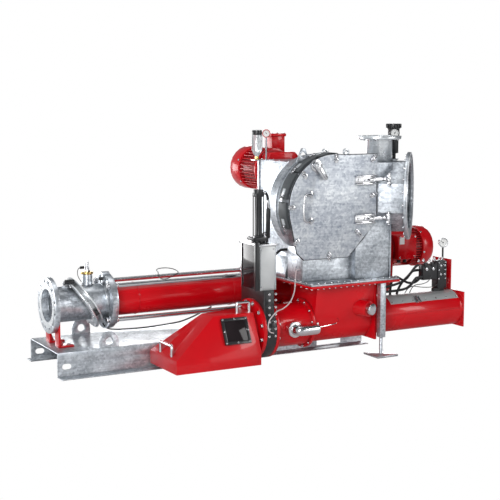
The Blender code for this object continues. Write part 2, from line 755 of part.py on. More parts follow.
def support_leg():
    """The square post under the trough's front corner, with its levelling foot."""
    half = LEG_SIDE / 2
    block("support_leg", (LEG_X - half, LEG_Y - half, LEG_BOTTOM),
          (LEG_X + half, LEG_Y + half, FLANGE_UNDER - GAP), "zinc")
    profile = [(0, LEG_BOTTOM - GAP), (FOOT_STEM_R, LEG_BOTTOM - GAP), (FOOT_STEM_R, FOOT_T - GAP),
               (0, FOOT_T - GAP)]
    stem = turned("foot_stem", profile, (LEG_X, LEG_Y, 0), ALONG_Z, steps=12)
    foot = block("levelling_foot", (LEG_X - FOOT_HALF, LEG_Y - FOOT_HALF, 0),
                 (LEG_X + FOOT_HALF, LEG_Y + FOOT_HALF, FOOT_T), "zinc")
    join(foot, stem)


def shell_from_points(name, points, open_side, sheet, colour):
    """The convex shell over some points, open on one side, with the wall inside."""
    mesh = bpy.data.meshes.new(name)
    shape = bmesh.new()
    for point in points:
        shape.verts.new(point)
    bmesh.ops.convex_hull(shape, input=shape.verts)
    bmesh.ops.dissolve_limit(shape, angle_limit=radians(1), verts=shape.verts, edges=shape.edges)
    bmesh.ops.recalc_face_normals(shape, faces=shape.faces)
    opening = [face for face in shape.faces if face.normal.dot(Vector(open_side)) > 0.99]
    bmesh.ops.delete(shape, geom=opening, context="FACES_ONLY")
    shape.to_mesh(mesh)
    shape.free()
    obj = bpy.data.objects.new(name, mesh)
    wall = obj.modifiers.new("wall", "SOLIDIFY")
    wall.thickness = sheet
    wall.offset = -1
    wall.use_even_offset = True
    return place(obj, name, colour)


def debris_hood():
    """The sheet hood over the debris outlet, open below, with its neck, window and grips."""
    points = [(x, y, z) for x in (HOOD_LEFT, HOOD_RIGHT) for y in (HOOD_FRONT, HOOD_BACK)
              for z in (HOOD_LOW, HOOD_EAVE)]
    points += [(*HOOD_CORNER, HOOD_TOP), (HOOD_TOP_LEFT, HOOD_TOP_FRONT, HOOD_TOP),
               (HOOD_RIGHT, HOOD_TOP_FRONT, HOOD_TOP), (HOOD_RIGHT, HOOD_TOP_BACK, HOOD_TOP)]
    hood = shell_from_points("debris_hood", points, (0, 0, -1), HOOD_SHEET, "red")
    at = (0, SCREW_Y, SCREW_Z)
    cut(hood, rod("hood_outlet", NECK_R, HOOD_RIGHT - 0.05, HOOD_RIGHT + 0.05, at, ALONG_X, steps=24))
    low, high = HOOD_RIGHT + GAP, VALVE_LEFT - GAP
    flange = high - VALVE_FLANGE_T
    outer = NECK_R + HOOD_SHEET
    profile = [(VALVE_R, high), (VALVE_R, flange), (outer, flange), (outer, low), (NECK_R, low),
               (NECK_R, high)]
    turned("hood_flange", profile, at, ALONG_X, "red", 32, closed=True)
    return hood


def grip(name, start, end):
    """A round bar bent into a grip that stands on two feet."""
    low, high = Vector((0, 0, GRIP_HEIGHT - GRIP_BEND)), Vector((0, 0, GRIP_HEIGHT))
    inward = (end - start).normalized() * GRIP_BEND
    route = [start, start + low, start + high + inward, end + high - inward, end + low, end]
    return hose(name, route, GRIP_R, spacing=0.02)


def hood_fittings(hood):
    """The dark inspection window on the sloping front and the two lifting grips."""
    rise = HOOD_TOP - HOOD_EAVE
    run = HOOD_TOP_FRONT - HOOD_FRONT
    lean = atan2(run, rise)
    y = HOOD_FRONT + run * (WINDOW_Z - HOOD_EAVE) / rise
    across, up = WINDOW_WIDTH / 2, WINDOW_HEIGHT / 2
    window = block("hood_window", (-across, -WINDOW_T - GAP, -up), (across, -GAP, up), "smoke")
    window.matrix_world = (Matrix.Translation((WINDOW_X, y, WINDOW_Z)) @ Matrix.Rotation(-lean, 4, "X")
                           @ Matrix.Translation((0, -WINDOW_T / 2 - GAP, 0)))
    slope = atan2(HOOD_TOP - HOOD_EAVE, HOOD_CORNER[0] - HOOD_LEFT)
    foot = HOOD_EAVE + (GRIP_LEFT_X - HOOD_LEFT) * tan(slope) - HOOD_SHEET / 2
    near, far = [Vector((GRIP_LEFT_X, y, foot)) for y in GRIP_LEFT_YS]
    join(hood, grip("hood_grip_left", near, far))
    left, right = [Vector((x, GRIP_RIGHT_Y, HOOD_TOP - HOOD_SHEET / 2)) for x in GRIP_RIGHT_XS]
    join(hood, grip("hood_grip_right", left, right))


def gate_valve():
    """The knife gate body between the hood and the debris pipe."""
    outline = [(SCREW_Y + VALVE_HALF_Y, VALVE_TOP), (SCREW_Y - VALVE_HALF_Y, VALVE_TOP)]
    side = acos(VALVE_HALF_Y / VALVE_R)
    outline += arc((SCREW_Y, SCREW_Z), VALVE_R, pi - side, 2 * pi + side, 20)
    plate("gate_valve_body", outline, VALVE_LEFT, VALVE_RIGHT, "X", "black")
    high = BODY_LEFT - GAP
    low = VALVE_RIGHT + GAP
    flange, end = low + VALVE_FLANGE_T, high - VALVE_FLANGE_T
    profile = [(0, high), (DEBRIS_FLANGE_R, high), (DEBRIS_FLANGE_R, end), (DEBRIS_PIPE_R, end),
               (DEBRIS_PIPE_R, flange), (VALVE_R, flange), (VALVE_R, low), (0, low)]
    pipe = turned("debris_pipe", profile, (0, SCREW_Y, SCREW_Z), ALONG_X, "red", 32)
    join(pipe, rod("drain_boss", DRAIN_BOSS_R, DRAIN_SEAT, SCREW_Y, (DRAIN_X, 0, SCREW_Z), ALONG_Y,
                   steps=20))


def gate_actuator():
    """The guards over the gate's yoke and the hydraulic cylinder on top."""
    low = VALVE_TOP + GAP
    front, back = GUARD_Y - GUARD_HALF_Y, GUARD_Y + GUARD_HALF_Y
    sheet = GUARD_SHEET
    block("guard_cover", (GUARD_LEFT, front, low), (GUARD_RIGHT, front + sheet, GUARD_TOP), "grey")
    sides = block("guard_sides", (GUARD_LEFT, front + sheet + GAP, low), (GUARD_RIGHT, back, GUARD_TOP),
                  "smoke")
    cut(sides, block("guard_hollow", (GUARD_LEFT + sheet, front, low - sheet),
                     (GUARD_RIGHT - sheet, back - sheet, GUARD_TOP + sheet)))
    middle = (GUARD_LEFT + GUARD_RIGHT) / 2
    top = GUARD_TOP + GAP
    plate_top = top + ACTUATOR_PLATE_T
    cap = block("guard_top_plate", (GUARD_LEFT - 0.01, front - 0.01, top),
                (GUARD_RIGHT + 0.01, back + 0.01, plate_top), "steel")
    join(cap, rod("gate_spindle", SPINDLE_R, low, top + GAP, (middle, GUARD_Y, 0), ALONG_Z, steps=10))
    low = plate_top + GAP
    radius = ACTUATOR_R
    profile = [(0, ACTUATOR_TOP), (radius * 1.35, ACTUATOR_TOP), (radius * 1.35, ACTUATOR_TOP - 0.045),
               (radius, ACTUATOR_TOP - 0.045), (radius, low + 0.04), (radius * 1.35, low + 0.04),
               (radius * 1.35, low + 0.016), (radius * 2, low + 0.016), (radius * 2, low), (0, low)]
    turned("gate_cylinder", profile, (middle, GUARD_Y, 0), ALONG_Z, "black", 20)


DRUM_AT = (DRUM_X, 0, DRUM_Z)


def duct_section(name, flat, low, high, colour=None):
    """A stretch of the octagonal inlet duct, measured from the duct's own reference point."""
    radius = flat / 2 / cos(pi / 8)
    profile = [(0, high), (radius, high), (radius, low), (0, low)]
    at = (DUCT_X, DUCT_Y, HOUSING_TOP - DUCT_FLAT / 2)
    return turned(name, profile, at, ALONG_DUCT @ FLAT_UP, colour, 8)


def top_bore(name):
    """The cutter for the hole under the top nozzle."""
    return rod(name, TOP_PIPE_R - TOP_PIPE_WALL, HOUSING_TOP - DUCT_FLAT / 4, HOUSING_TOP + TOP_PIPE_WALL,
               (DUCT_X, DUCT_Y, 0), ALONG_Z, steps=32)


def housing():
    """The galvanised housing on the trough: its lip, deep rear box and front panels."""
    lip_low = TROUGH_TOP + GAP
    lip_top = lip_low + HOUSING_LIP
    block("housing_lip", (TROUGH_LEFT + 0.004, TROUGH_FRONT + 0.004, lip_low),
          (TROUGH_RIGHT - 0.004, TROUGH_BACK - 0.004, lip_top), "zinc")
    low = lip_top + GAP
    drum = rod("housing_drum_cutter", DRUM_R + GAP * 2, DRUM_FRONT - 0.1, HOUSING_MIDDLE, DRUM_AT, ALONG_Y,
               steps=48)
    inlet = duct_section("housing_inlet_cutter", DUCT_FLAT - 2 * DUCT_SHEET, -0.22, 0.4)
    bore = top_bore("housing_top_bore")
    rear = block("housing_rear", (HOUSING_LEFT, HOUSING_MIDDLE, low),
                 (HOUSING_RIGHT, HOUSING_BACK, HOUSING_TOP), "zinc")
    cut(rear, inlet, bore)
    front = block("housing_front", (PANEL_RIGHT, HOUSING_FRONT, low),
                  (HOUSING_RIGHT, HOUSING_MIDDLE - GAP, HOUSING_TOP), "zinc")
    join(front, block("drum_saddle", (PANEL_LEFT, PANEL_FRONT, low),
                      (PANEL_RIGHT + GAP, HOUSING_MIDDLE - GAP, PANEL_TOP)))
    cut(front, drum, inlet, bore)
    high = low + 0.16
    outline = [(HOUSING_LEFT - GAP, low), (HOUSING_LEFT - GAP, high), (TROUGH_LEFT + 0.01, low + 0.03),
               (TROUGH_LEFT + 0.01, low)]
    plate("rear_chute", outline, HOUSING_MIDDLE + 0.02, HOUSING_BACK - 0.02, "Y", "zinc")


def drum():
    """The drum shell behind the door, closed at the back, with its ring and dark band."""
    back = HOUSING_MIDDLE - GAP
    inner = DRUM_R - DRUM_SHEET
    floor = back - DRUM_SHEET
    profile = [(0, back), (DRUM_R, back), (DRUM_R, DRUM_FRONT), (inner, DRUM_FRONT), (inner, floor),
               (0, floor)]
    shell = turned("drum_shell", profile, DRUM_AT, ALONG_Y, "zinc", 48)
    low, high = DRUM_RING_Y - DRUM_RING_T / 2, DRUM_RING_Y + DRUM_RING_T / 2
    outline = arc((DRUM_X, DRUM_Z), inner + DRUM_SHEET / 2, radians(62), radians(215), 22)
    outline += arc((DRUM_X, DRUM_Z), DRUM_RING_R, radians(215), radians(62), 22)
    join(shell, plate("drum_ring", outline, low, high, "Y"))
    outline = arc((DRUM_X, DRUM_Z), DRUM_R + GAP * 2, BAND_START, BAND_END, 18)
    outline += arc((DRUM_X, DRUM_Z), BAND_R, BAND_END, BAND_START, 18)
    plate("drum_band", outline, BAND_FRONT, BAND_BACK, "Y", "dark")


def door():
    """The round door with a flat foot, a chamfer and one square corner, hung at its right."""
    top = asin((DOOR_TOP - DRUM_Z) / DOOR_R)
    outline = arc((DRUM_X, DRUM_Z), DOOR_R, top, DOOR_ARC_END, 20)
    outline += [(DOOR_SIDE_X, DOOR_SIDE_Z), (DOOR_LOW_X, DOOR_LOW), (DOOR_CHAMFER_X, DOOR_LOW),
                (DOOR_RIGHT, DOOR_CHAMFER_TOP), (DOOR_RIGHT, DOOR_TOP)]
    leaf = plate("door", outline, DOOR_FACE, DOOR_FACE + DOOR_T - GAP, "Y", "zinc")
    face = DOOR_FACE - GAP
    join(leaf, rod("latch_boss", LATCH_BOSS_R, face - LATCH_STAND, DOOR_FACE + DOOR_T / 2,
                   (LATCH_X, 0, LATCH_Z), ALONG_Y, steps=16))
    for index, z in enumerate(HINGE_ZS):
        name = ("upper", "lower")[index]
        half = STRAP_HEIGHT / 2
        strap = block(f"door_strap_{name}", (STRAP_LEFT, face - STRAP_T, z - half),
                      (DOOR_RIGHT - 0.015, face, z + half), "steel")
        reach = block(f"strap_arm_{name}", (DOOR_RIGHT - 0.05, face - STRAP_T, z - HINGE_EYE_R),
                      (HINGE_X, face - STRAP_T + 0.012, z + HINGE_EYE_R))
        eye = rod(f"strap_eye_{name}", HINGE_EYE_R, z - HINGE_EYE_HALF, z + HINGE_EYE_HALF,
                  (HINGE_X, HINGE_Y, 0), ALONG_Z, steps=16)
        link = block(f"strap_link_{name}", (HINGE_X - HINGE_EYE_R * 0.8, HINGE_Y, z - HINGE_EYE_R),
                     (HINGE_X + HINGE_EYE_R * 0.4, face - STRAP_T + 0.012, z + HINGE_EYE_R))
        join(strap, reach, eye, link)
        cut(strap, rod(f"eye_bore_{name}", HINGE_PIN_R + 0.0005, z - 0.05, z + 0.05,
                       (HINGE_X, HINGE_Y, 0), ALONG_Z, steps=16))


def hinge_brackets():
    """The fixed forks and pins on the inlet duct's flat side."""
    outward = Vector((sin(DUCT_TURN), -cos(DUCT_TURN), 0))
    facet = Vector((DUCT_X, DUCT_Y, 0)) + outward * (DUCT_FLAT / 2 + GAP)
    along = Vector((cos(DUCT_TURN), sin(DUCT_TURN), 0))
    pin = Vector((HINGE_X, HINGE_Y, 0))
    seat = facet + along * (pin - facet).dot(along)
    reach = ((pin - seat).length + HINGE_ARM_HALF) / 2
    half, thick = HINGE_ARM_HALF, HINGE_ARM_T / 2
    for index, z in enumerate(HINGE_ZS):
        name = f"hinge_bracket_{('upper', 'lower')[index]}"
        low, high = z - HINGE_PIN_HALF, z + HINGE_PIN_HALF
        bracket = rod(name, HINGE_PIN_R, low, high, pin, ALONG_Z, "steel", 16)
        for side in (-1, 1):
            arm = block(f"{name}_arm_{side}", (-half, -reach, -thick), (half, reach, thick))
            middle = seat + outward * reach + Vector((0, 0, z + side * HINGE_ARM_SHIFT))
            arm.matrix_world = Matrix.Translation(middle) @ Matrix.Rotation(DUCT_TURN, 4, "Z")
            join(bracket, arm)


def door_fittings():
    """The pull handle and the cam latch with its lever."""
    face = DOOR_FACE - GAP
    low, high = HANDLE_ZS[1], HANDLE_ZS[0]
    out = face - HANDLE_REACH
    x = HANDLE_X - HANDLE_LEAN
    leg = (face, face - HANDLE_R, face - 2 * HANDLE_R)
    upper = [*((HANDLE_X, y, high) for y in leg), (x, out, high - HANDLE_R)]
    lower = [*((HANDLE_X, y, low) for y in leg), (x, out, low + HANDLE_R)]
    hose("door_handle", upper + lower[::-1], HANDLE_R, "steel", 0.025)
    near = face - LATCH_STAND - GAP
    half = LATCH_HALF_WIDTH
    outline = arc((0, 0), half, pi / 2, 3 * pi / 2, 8)
    outline += arc((LATCH_REACH, 0), half * 0.8, -pi / 2, pi / 2, 8)
    turn_c, turn_s = cos(LATCH_ANGLE), sin(LATCH_ANGLE)
    outline = [(LATCH_X + a * turn_c - b * turn_s, LATCH_Z + a * turn_s + b * turn_c) for a, b in outline]
    plate("door_latch", outline, near - LATCH_T, near, "Y", "steel")


def inlet_duct():
    """The octagonal duct out of the housing's front corner, with its round flange."""
    reach = DUCT_REACH
    face = reach - INLET_FLANGE_T
    duct = duct_section("inlet_duct", DUCT_FLAT, -0.30, face - GAP, "zinc")
    hollow = duct_section("duct_bore", DUCT_FLAT - 2 * DUCT_SHEET, -0.4, 0.4)
    corner = block("duct_corner", (-0.2, HOUSING_FRONT - GAP, 0.6), (HOUSING_RIGHT + GAP, 0.6, 1.5))
    change(duct, "DIFFERENCE", (hollow, corner, top_bore("duct_top_bore")), "MANIFOLD")
    at = (DUCT_X, DUCT_Y, HOUSING_TOP - DUCT_FLAT / 2)
    flange = ring("inlet_flange", INLET_BORE_R, INLET_FLANGE_R, face, reach, at, ALONG_DUCT, "zinc", 36)
    low = HOUSING_TOP + GAP
    high = HOUSING_TOP + TOP_NOZZLE_HEIGHT
    under = high - TOP_FLANGE_T
    bore = TOP_PIPE_R - TOP_PIPE_WALL
    profile = [(TOP_FLANGE_R, high), (TOP_FLANGE_R, under), (TOP_PIPE_R, under), (TOP_PIPE_R, low),
               (bore, low), (bore, high)]
    turned("top_nozzle", profile, (DUCT_X, DUCT_Y, 0), ALONG_Z, "zinc", 32, closed=True)
    return flange


def mixer_drive():
    """The parallel shaft gearbox on the back wall, with its motor, cowl and terminal box."""
    low, high = HOUSING_BACK + GAP, MIXER_BOX_BACK
    left, right, top, corner = MIXER_BOX_LEFT, MIXER_BOX_RIGHT, MIXER_BOX_TOP, MIXER_BOX_CORNER
    outline = arc((DRUM_X, DRUM_Z), MIXER_BOX_R, pi, 2 * pi, 12)
    outline += [(right, top - corner), (right - corner, top), (left + corner, top), (left, top - corner)]
    plate("mixer_gearbox", outline, low, high, "Y", "red")
    end = high + MIXER_LENGTH
    cowl = end - MIXER_COWL_LENGTH
    profile = [(0, end), (MIXER_COWL_R, end), (MIXER_COWL_R, cowl), (MIXER_R, cowl), (MIXER_R, high + GAP),
               (0, high + GAP)]
    turned("mixer_motor", profile, (MIXER_X, 0, MIXER_Z), ALONG_Y, "red", 24)
    half = TERMINAL_SIDE / 2
    y = high + TERMINAL_OFFSET
    box = block("mixer_terminal_box", (TERMINAL_X - half, y - half, MIXER_Z),
                (TERMINAL_X + half, y + half, MIXER_Z + TERMINAL_HEIGHT), "red")
    cut(box, rod("terminal_seat", MIXER_R + GAP, low, end, (MIXER_X, 0, MIXER_Z), ALONG_Y, steps=24))


def pump_drive():
    """The adapter, parallel shaft gearbox and motor on the pump's right end."""
    at = (0, PUMP_Y, PUMP_Z)
    low, high = TROUGH_RIGHT + GAP, GEARBOX_LEFT - GAP
    wide, sheet = ADAPTER_FLANGE_R, ADAPTER_FLANGE_T
    profile = [(0, high), (wide, high), (wide, high - sheet), (ADAPTER_R, high - sheet),
               (ADAPTER_R, low + sheet), (wide, low + sheet), (wide, low), (0, low)]
    turned("drive_adapter", profile, at, ALONG_X, "red", 24)
    lean = atan2(MOTOR_Z - PUMP_Z, MOTOR_Y - PUMP_Y)
    outline = arc((PUMP_Y, PUMP_Z), PUMP_GEAR_R, lean + pi / 2, lean + 3 * pi / 2, 12)
    outline += arc((MOTOR_Y, MOTOR_Z), MOTOR_GEAR_R, lean - pi / 2, lean + pi / 2, 12)
    plate("pump_gearbox", outline, GEARBOX_LEFT, GEARBOX_RIGHT, "X", "red")
    at = (0, MOTOR_Y, MOTOR_Z)
    low = GEARBOX_RIGHT + GAP
    end, dome = GEARBOX_RIGHT + MOTOR_LENGTH, MOTOR_COWL_DOME
    cowl = end - MOTOR_COWL_LENGTH
    shoulder = (MOTOR_COWL_R * 2 + MOTOR_COWL_END_R) / 3
    profile = [(0, end), (MOTOR_COWL_END_R, end), (shoulder, end - dome / 3), (MOTOR_COWL_R, end - dome),
               (MOTOR_COWL_R, cowl), (MOTOR_R, cowl), (MOTOR_R, low), (0, low)]
    turned("pump_motor", profile, at, ALONG_X, "red", 24)
    left = GEARBOX_RIGHT + PUMP_BOX_INSET
    box = block("pump_terminal_box", (left, MOTOR_Y - PUMP_BOX_REACH, MOTOR_Z - PUMP_BOX_DROP),
                (left + PUMP_BOX_LENGTH, MOTOR_Y, MOTOR_Z + PUMP_BOX_RISE), "red")
    cut(box, rod("pump_terminal_seat", MOTOR_R + GAP, low, cowl, at, ALONG_X, steps=24))


TOWARDS_FRONT = radians(-119)


def dial_gauge(name, at, radius, stem_low=None):
    """A round gauge with its dial towards the machine's front left, and a stem below it."""
    turn = Matrix.Rotation(TOWARDS_FRONT, 4, "Z") @ ALONG_X
    case = rod(name, radius, -GAUGE_T / 2, GAUGE_T / 2, at, turn, steps=16)
    if stem_low is None:
        return [case]
    stem = rod(f"{name}_stem", GAUGE_STEM_R, stem_low, at[2] - radius / 2, (at[0], at[1], 0), ALONG_Z,
               steps=8)
    return [case, stem]


def oil_reservoir():
    """The clear drip feed on a bracket at the housing's top rear corner, and its gauge."""
    low = HOUSING_TOP + GAP
    top = low + BRACKET_T
    x, y, r = RESERVOIR_X, RESERVOIR_Y, RESERVOIR_R
    bracket = block("reservoir_bracket", (x - r, y - r, low), (HOUSING_LEFT + 2 * r, y + r, top), "zinc")
    gauge_at = (x - GAUGE_SPACING * sin(TOWARDS_FRONT), y + GAUGE_SPACING * cos(TOWARDS_FRONT),
                HOUSING_TOP + RESERVOIR_GAUGE_HEIGHT)
    join(bracket, *dial_gauge("reservoir_gauge", gauge_at, SMALL_GAUGE_R, top - BRACKET_T / 2))
    foot = top + GAP
    high = foot + RESERVOIR_HEIGHT
    cap, stem = high - RESERVOIR_CAP_T, foot + RESERVOIR_STEM
    profile = [(0, high), (r * 0.94, high), (r * 0.94, cap), (r, cap), (r, stem + RESERVOIR_CONE),
               (RESERVOIR_STEM_R, stem), (RESERVOIR_STEM_R, foot), (0, foot)]
    turned("oil_reservoir", profile, (x, y, 0), ALONG_Z, "clear", 20)


def air_regulator():
    """The black filter regulator on a flat bar over the duct's far side."""
    along = Vector((cos(DUCT_TURN), sin(DUCT_TURN), 0))
    across = Vector((-sin(DUCT_TURN), cos(DUCT_TURN), 0))
    centre = Vector((DUCT_X, DUCT_Y, 0)) + along * REGULATOR_ALONG
    at = centre + across * REGULATOR_ACROSS
    low = HOUSING_TOP + GAP
    top = low + BRACKET_T
    inner, outer = REGULATOR_BAR_START, REGULATOR_ACROSS + BOWL_R
    bar = block("regulator_bar", (-BOWL_R, inner, 0), (BOWL_R, outer, BRACKET_T), "zinc")
    bar.matrix_world = (Matrix.Translation(centre + Vector((0, 0, low))) @ Matrix.Rotation(DUCT_TURN, 4, "Z")
                        @ Matrix.Translation((0, (inner + outer) / 2, BRACKET_T / 2)))
    foot = top + GAP
    high = HOUSING_TOP + REGULATOR_HEIGHT
    cap, body, bowl = high - REGULATOR_CAP_T, high - REGULATOR_BODY_DROP, high - BOWL_DROP
    step = REGULATOR_STEP
    profile = [(0, high), (REGULATOR_CAP_R, high), (REGULATOR_CAP_R, cap), (REGULATOR_BODY_R, cap - step),
               (REGULATOR_BODY_R, body), (BOWL_R, body - step), (BOWL_R, bowl),
               (BOWL_R / 2, bowl - step), (BOWL_R / 2, foot), (0, foot)]
    body = turned("air_regulator", profile, at, ALONG_Z, "black", 16)
    front = Vector((cos(TOWARDS_FRONT), sin(TOWARDS_FRONT), 0))
    dial = at + front * (REGULATOR_BODY_R + GAUGE_T / 3) + Vector((0, 0, high - REGULATOR_DIAL_DROP))
    join(body, *dial_gauge("regulator_gauge", dial, GAUGE_R))


def hydraulic_unit():
    """The valve block on the screw tube with its gauge, and the upright plate behind it."""
    seat = SCREW_Z + TUBE_R + COVER_T + GAP
    low = seat + BLOCK_STAND
    body = block("hydraulic_block", (BLOCK_LEFT, BLOCK_FRONT, low), (BLOCK_RIGHT, BLOCK_BACK, BLOCK_TOP),
                 "black")
    manifold_low = low + (BLOCK_TOP - low) * 0.35
    manifold = block("valve_manifold", (MANIFOLD_LEFT, BLOCK_FRONT + 0.01, manifold_low),
                     (BLOCK_LEFT + GAP, BLOCK_BACK - 0.01, BLOCK_TOP - 0.02))
    foot = block("block_foot", (BLOCK_LEFT - 0.02, SCREW_Y - 0.012, seat),
                 (BLOCK_RIGHT, SCREW_Y + 0.012, low + GAP))
    gauge_x = BLOCK_RIGHT - GAUGE_STEM_R - 0.002
    y = (BLOCK_FRONT + BLOCK_BACK) / 2
    join(body, manifold, foot, *dial_gauge("block_gauge", (gauge_x, y, HYDRAULIC_GAUGE_Z), GAUGE_R,
                                           BLOCK_TOP - 0.01))
    left = TUBE_RIGHT - BRACKET_INSET
    right = left + BRACKET_T
    upright = block("hydraulic_bracket", (left, BRACKET_FRONT, SCREW_Z), (right, BRACKET_BACK, BRACKET_TOP),
                    "red")
    cut(upright, rod("bracket_seat", TUBE_R + GAP, left - BRACKET_T, right + BRACKET_T,
                     (0, SCREW_Y, SCREW_Z), ALONG_X, steps=24))


def hoses():
    """The hydraulic hoses and the sensor lead, each held at both ends."""
    start = MANIFOLD_LEFT - GAP
    end = BODY_RIGHT + END_PLATE_T + GAP
    for index, (y, drop) in enumerate(((-0.30, 0.06), (-0.345, 0.10))):
        high = BLOCK_TOP - drop
        low = FLANGE_UNDER - 0.055 - drop / 2
        route = [(start, y, high), (start - 0.02, y, high), (start - 0.05, y, high - 0.004),
                 (start - 0.12, y + 0.01, high - 0.07), (end + 0.20, y + 0.04, low - 0.005),
                 (end + 0.04, y + 0.05, low), (end + 0.02, y + 0.05, low), (end, y + 0.05, low)]
        hose(f"hydraulic_hose_{index + 1}", route, HOSE_R, "rubber", 0.03)
    middle = (GUARD_LEFT + GUARD_RIGHT) / 2
    start = middle + ACTUATOR_R * 1.35 + GAP
    high = ACTUATOR_TOP - 0.022
    wall = HOUSING_LEFT - GAP
    y = HOUSING_MIDDLE + 0.06
    route = [(start, GUARD_Y, high), (start + 0.02, GUARD_Y, high),
             (start + 0.036, GUARD_Y + 0.004, high - 0.02),
             (start + 0.045, GUARD_Y + 0.01, high - 0.15), (start + 0.05, GUARD_Y + 0.03, GUARD_TOP),
             (wall - 0.12, y - 0.03, 0.66), (wall - 0.05, y, 0.68), (wall - 0.02, y, 0.68), (wall, y, 0.68)]
    hose("gate_hose", route, HOSE_R, "rubber", 0.03)
    front = SCREW_Y - VALVE_R
    wall = PANEL_LEFT - GAP
    middle = (VALVE_LEFT + VALVE_RIGHT) / 2
    route = [(middle, front - GAP, SCREW_Z), (middle, front - 0.012, SCREW_Z),
             (middle - 0.03, front - 0.016, 0.235), (middle - 0.04, front - 0.016, 0.262),
             (middle - 0.028, front - 0.012, 0.305), (middle + 0.03, front, 0.352),
             (middle + 0.085, front + 0.02, 0.362),
             (-0.045, -0.49, 0.395), (-0.008, -0.48, 0.455), (0.012, -0.46, 0.52), (0.04, -0.42, 0.57),
             (wall - 0.02, -0.40, 0.58), (wall - GAP, -0.40, 0.58)]
    hose("sensor_lead", route, CABLE_R, "grey", 0.012)


def build():
    base_frame()
    discharge_line()
    discharge_support()
    pressure_tapping()
    stator()
    pump_casing()
    casing_saddle()
    screw_trough()
    support_leg()
    hood_fittings(debris_hood())
    gate_valve()
    gate_actuator()
    housing()
    drum()
    door()
    hinge_brackets()
    door_fittings()
    inlet_duct()
    mixer_drive()
    pump_drive()
    drain_elbow()
    oil_reservoir()
    air_regulator()
    hydraulic_unit()
    hoses()


build()
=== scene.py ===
# %% [markdown]
# A screw feeder in Blender: the looks of a machine
#
# The frame holds every solid part at its real size. This notebook dresses those parts: it rounds
# their edges, gives them paint, zinc and steel, and adds the bolts, ribs, clamps, dials and fittings
# that are too fine for the frame. Each new piece starts as a primitive, is shaped with operators,
# and then rides on the body that carries it.

# %% Load the frame
from math import atan2, cos, pi, radians, sin

import bpy
from mathutils import Matrix, Vector


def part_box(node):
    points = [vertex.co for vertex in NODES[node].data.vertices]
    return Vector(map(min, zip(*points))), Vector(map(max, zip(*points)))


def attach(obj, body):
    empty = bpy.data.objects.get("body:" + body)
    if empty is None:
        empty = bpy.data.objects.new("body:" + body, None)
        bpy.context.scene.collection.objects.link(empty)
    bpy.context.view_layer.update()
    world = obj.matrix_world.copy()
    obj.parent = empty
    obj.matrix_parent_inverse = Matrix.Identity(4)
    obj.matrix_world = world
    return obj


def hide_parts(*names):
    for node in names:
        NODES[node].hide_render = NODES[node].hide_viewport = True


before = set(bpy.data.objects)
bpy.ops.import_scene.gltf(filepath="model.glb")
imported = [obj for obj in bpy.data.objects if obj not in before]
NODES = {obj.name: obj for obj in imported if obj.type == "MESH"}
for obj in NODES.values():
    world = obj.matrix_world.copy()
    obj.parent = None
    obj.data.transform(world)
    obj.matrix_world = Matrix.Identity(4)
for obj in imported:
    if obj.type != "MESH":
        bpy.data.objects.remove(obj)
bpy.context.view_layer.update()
SCENE = bpy.context.scene
print("parts in the frame:", len(NODES))

# %% [markdown]
# The camera stands at eye height, left of the machine and well back, and looks a little down. Its
# long lens keeps the pipes nearly parallel. It comes first, so that every piece can be judged
# through it.

# %% Camera
EYE = (-3.68, -6.59, 1.65)
LOOKS_RIGHT = radians(28.8)
LOOKS_DOWN = radians(7.45)
bpy.ops.object.camera_add(location=EYE, rotation=(pi / 2 - LOOKS_DOWN, 0, -LOOKS_RIGHT))
camera = bpy.context.object
camera.data.lens = 83.74
camera.data.sensor_width = 36
SCENE.camera = camera

# %% [markdown]
# Operators act on whatever is selected, so these helpers select one thing at a time. A place is a
# matrix: `at` only moves, `facing` also points the piece's own Z along a normal.

# %% Helpers for selecting and placing
X_AXIS, Y_AXIS, Z_AXIS = Vector((1, 0, 0)), Vector((0, 1, 0)), Vector((0, 0, 1))
FRONT = -Y_AXIS
MERGE = 0.00001
BEVEL_FROM, SMOOTH_TO = radians(30), radians(35)


def only(obj):
    """Makes an object the one selected and active object."""
    bpy.ops.object.select_all(action="DESELECT")
    obj.select_set(True)
    bpy.context.view_layer.objects.active = obj


def object_mode():
    bpy.ops.object.mode_set(mode="OBJECT")


def edit_all(obj):
    """Enters edit mode with everything selected."""
    only(obj)
    bpy.ops.object.mode_set(mode="EDIT")
    bpy.ops.mesh.select_all(action="SELECT")


def edit_faces(obj, test):
    """Enters edit mode with the faces selected whose centre and normal pass a test."""
    only(obj)
    bpy.ops.object.mode_set(mode="EDIT")
    bpy.ops.mesh.select_mode(type="FACE")
    bpy.ops.mesh.select_all(action="DESELECT")
    object_mode()
    for face in obj.data.polygons:
        face.select = test(face.center, face.normal)
    bpy.ops.object.mode_set(mode="EDIT")


def close_up():
    """Merges points that meet, turns the faces outward and leaves edit mode."""
    bpy.ops.mesh.select_all(action="SELECT")
    bpy.ops.mesh.remove_doubles(threshold=MERGE)
    bpy.ops.mesh.normals_make_consistent(inside=False)
    object_mode()


def at(*spot):
    """An upright place at x, y and z, or at one point."""
    return Matrix.Translation(spot[0] if len(spot) == 1 else spot)


def spun(angle, axis="Z"):
    return Matrix.Rotation(angle, 4, axis)


def facing(point, normal):
    """A place whose own Z points along a normal."""
    return at(point) @ Vector(normal).to_track_quat("Z", "Y").to_matrix().to_4x4()


def around(centre, axis, radius, count, start=0.0, outward=False):
    """Places evenly round an axis, facing along it or away from it."""
    middle = facing(centre, axis)
    places = []
    for index in range(count):
        angle = start + 2 * pi * index / count
        arm = Vector((cos(angle), sin(angle), 0))
        if outward:
            places.append(facing(middle @ (arm * radius), middle.to_3x3() @ arm))
        else:
            places.append(middle @ at(arm * radius) @ spun(angle))
    return places


def row(start, end, count):
    """Points evenly between two ends, both included."""
    start, end = Vector(start), Vector(end)
    return [start.lerp(end, index / (count - 1)) for index in range(count)]


def front(x, y, z):
    return facing((x, y, z), FRONT)


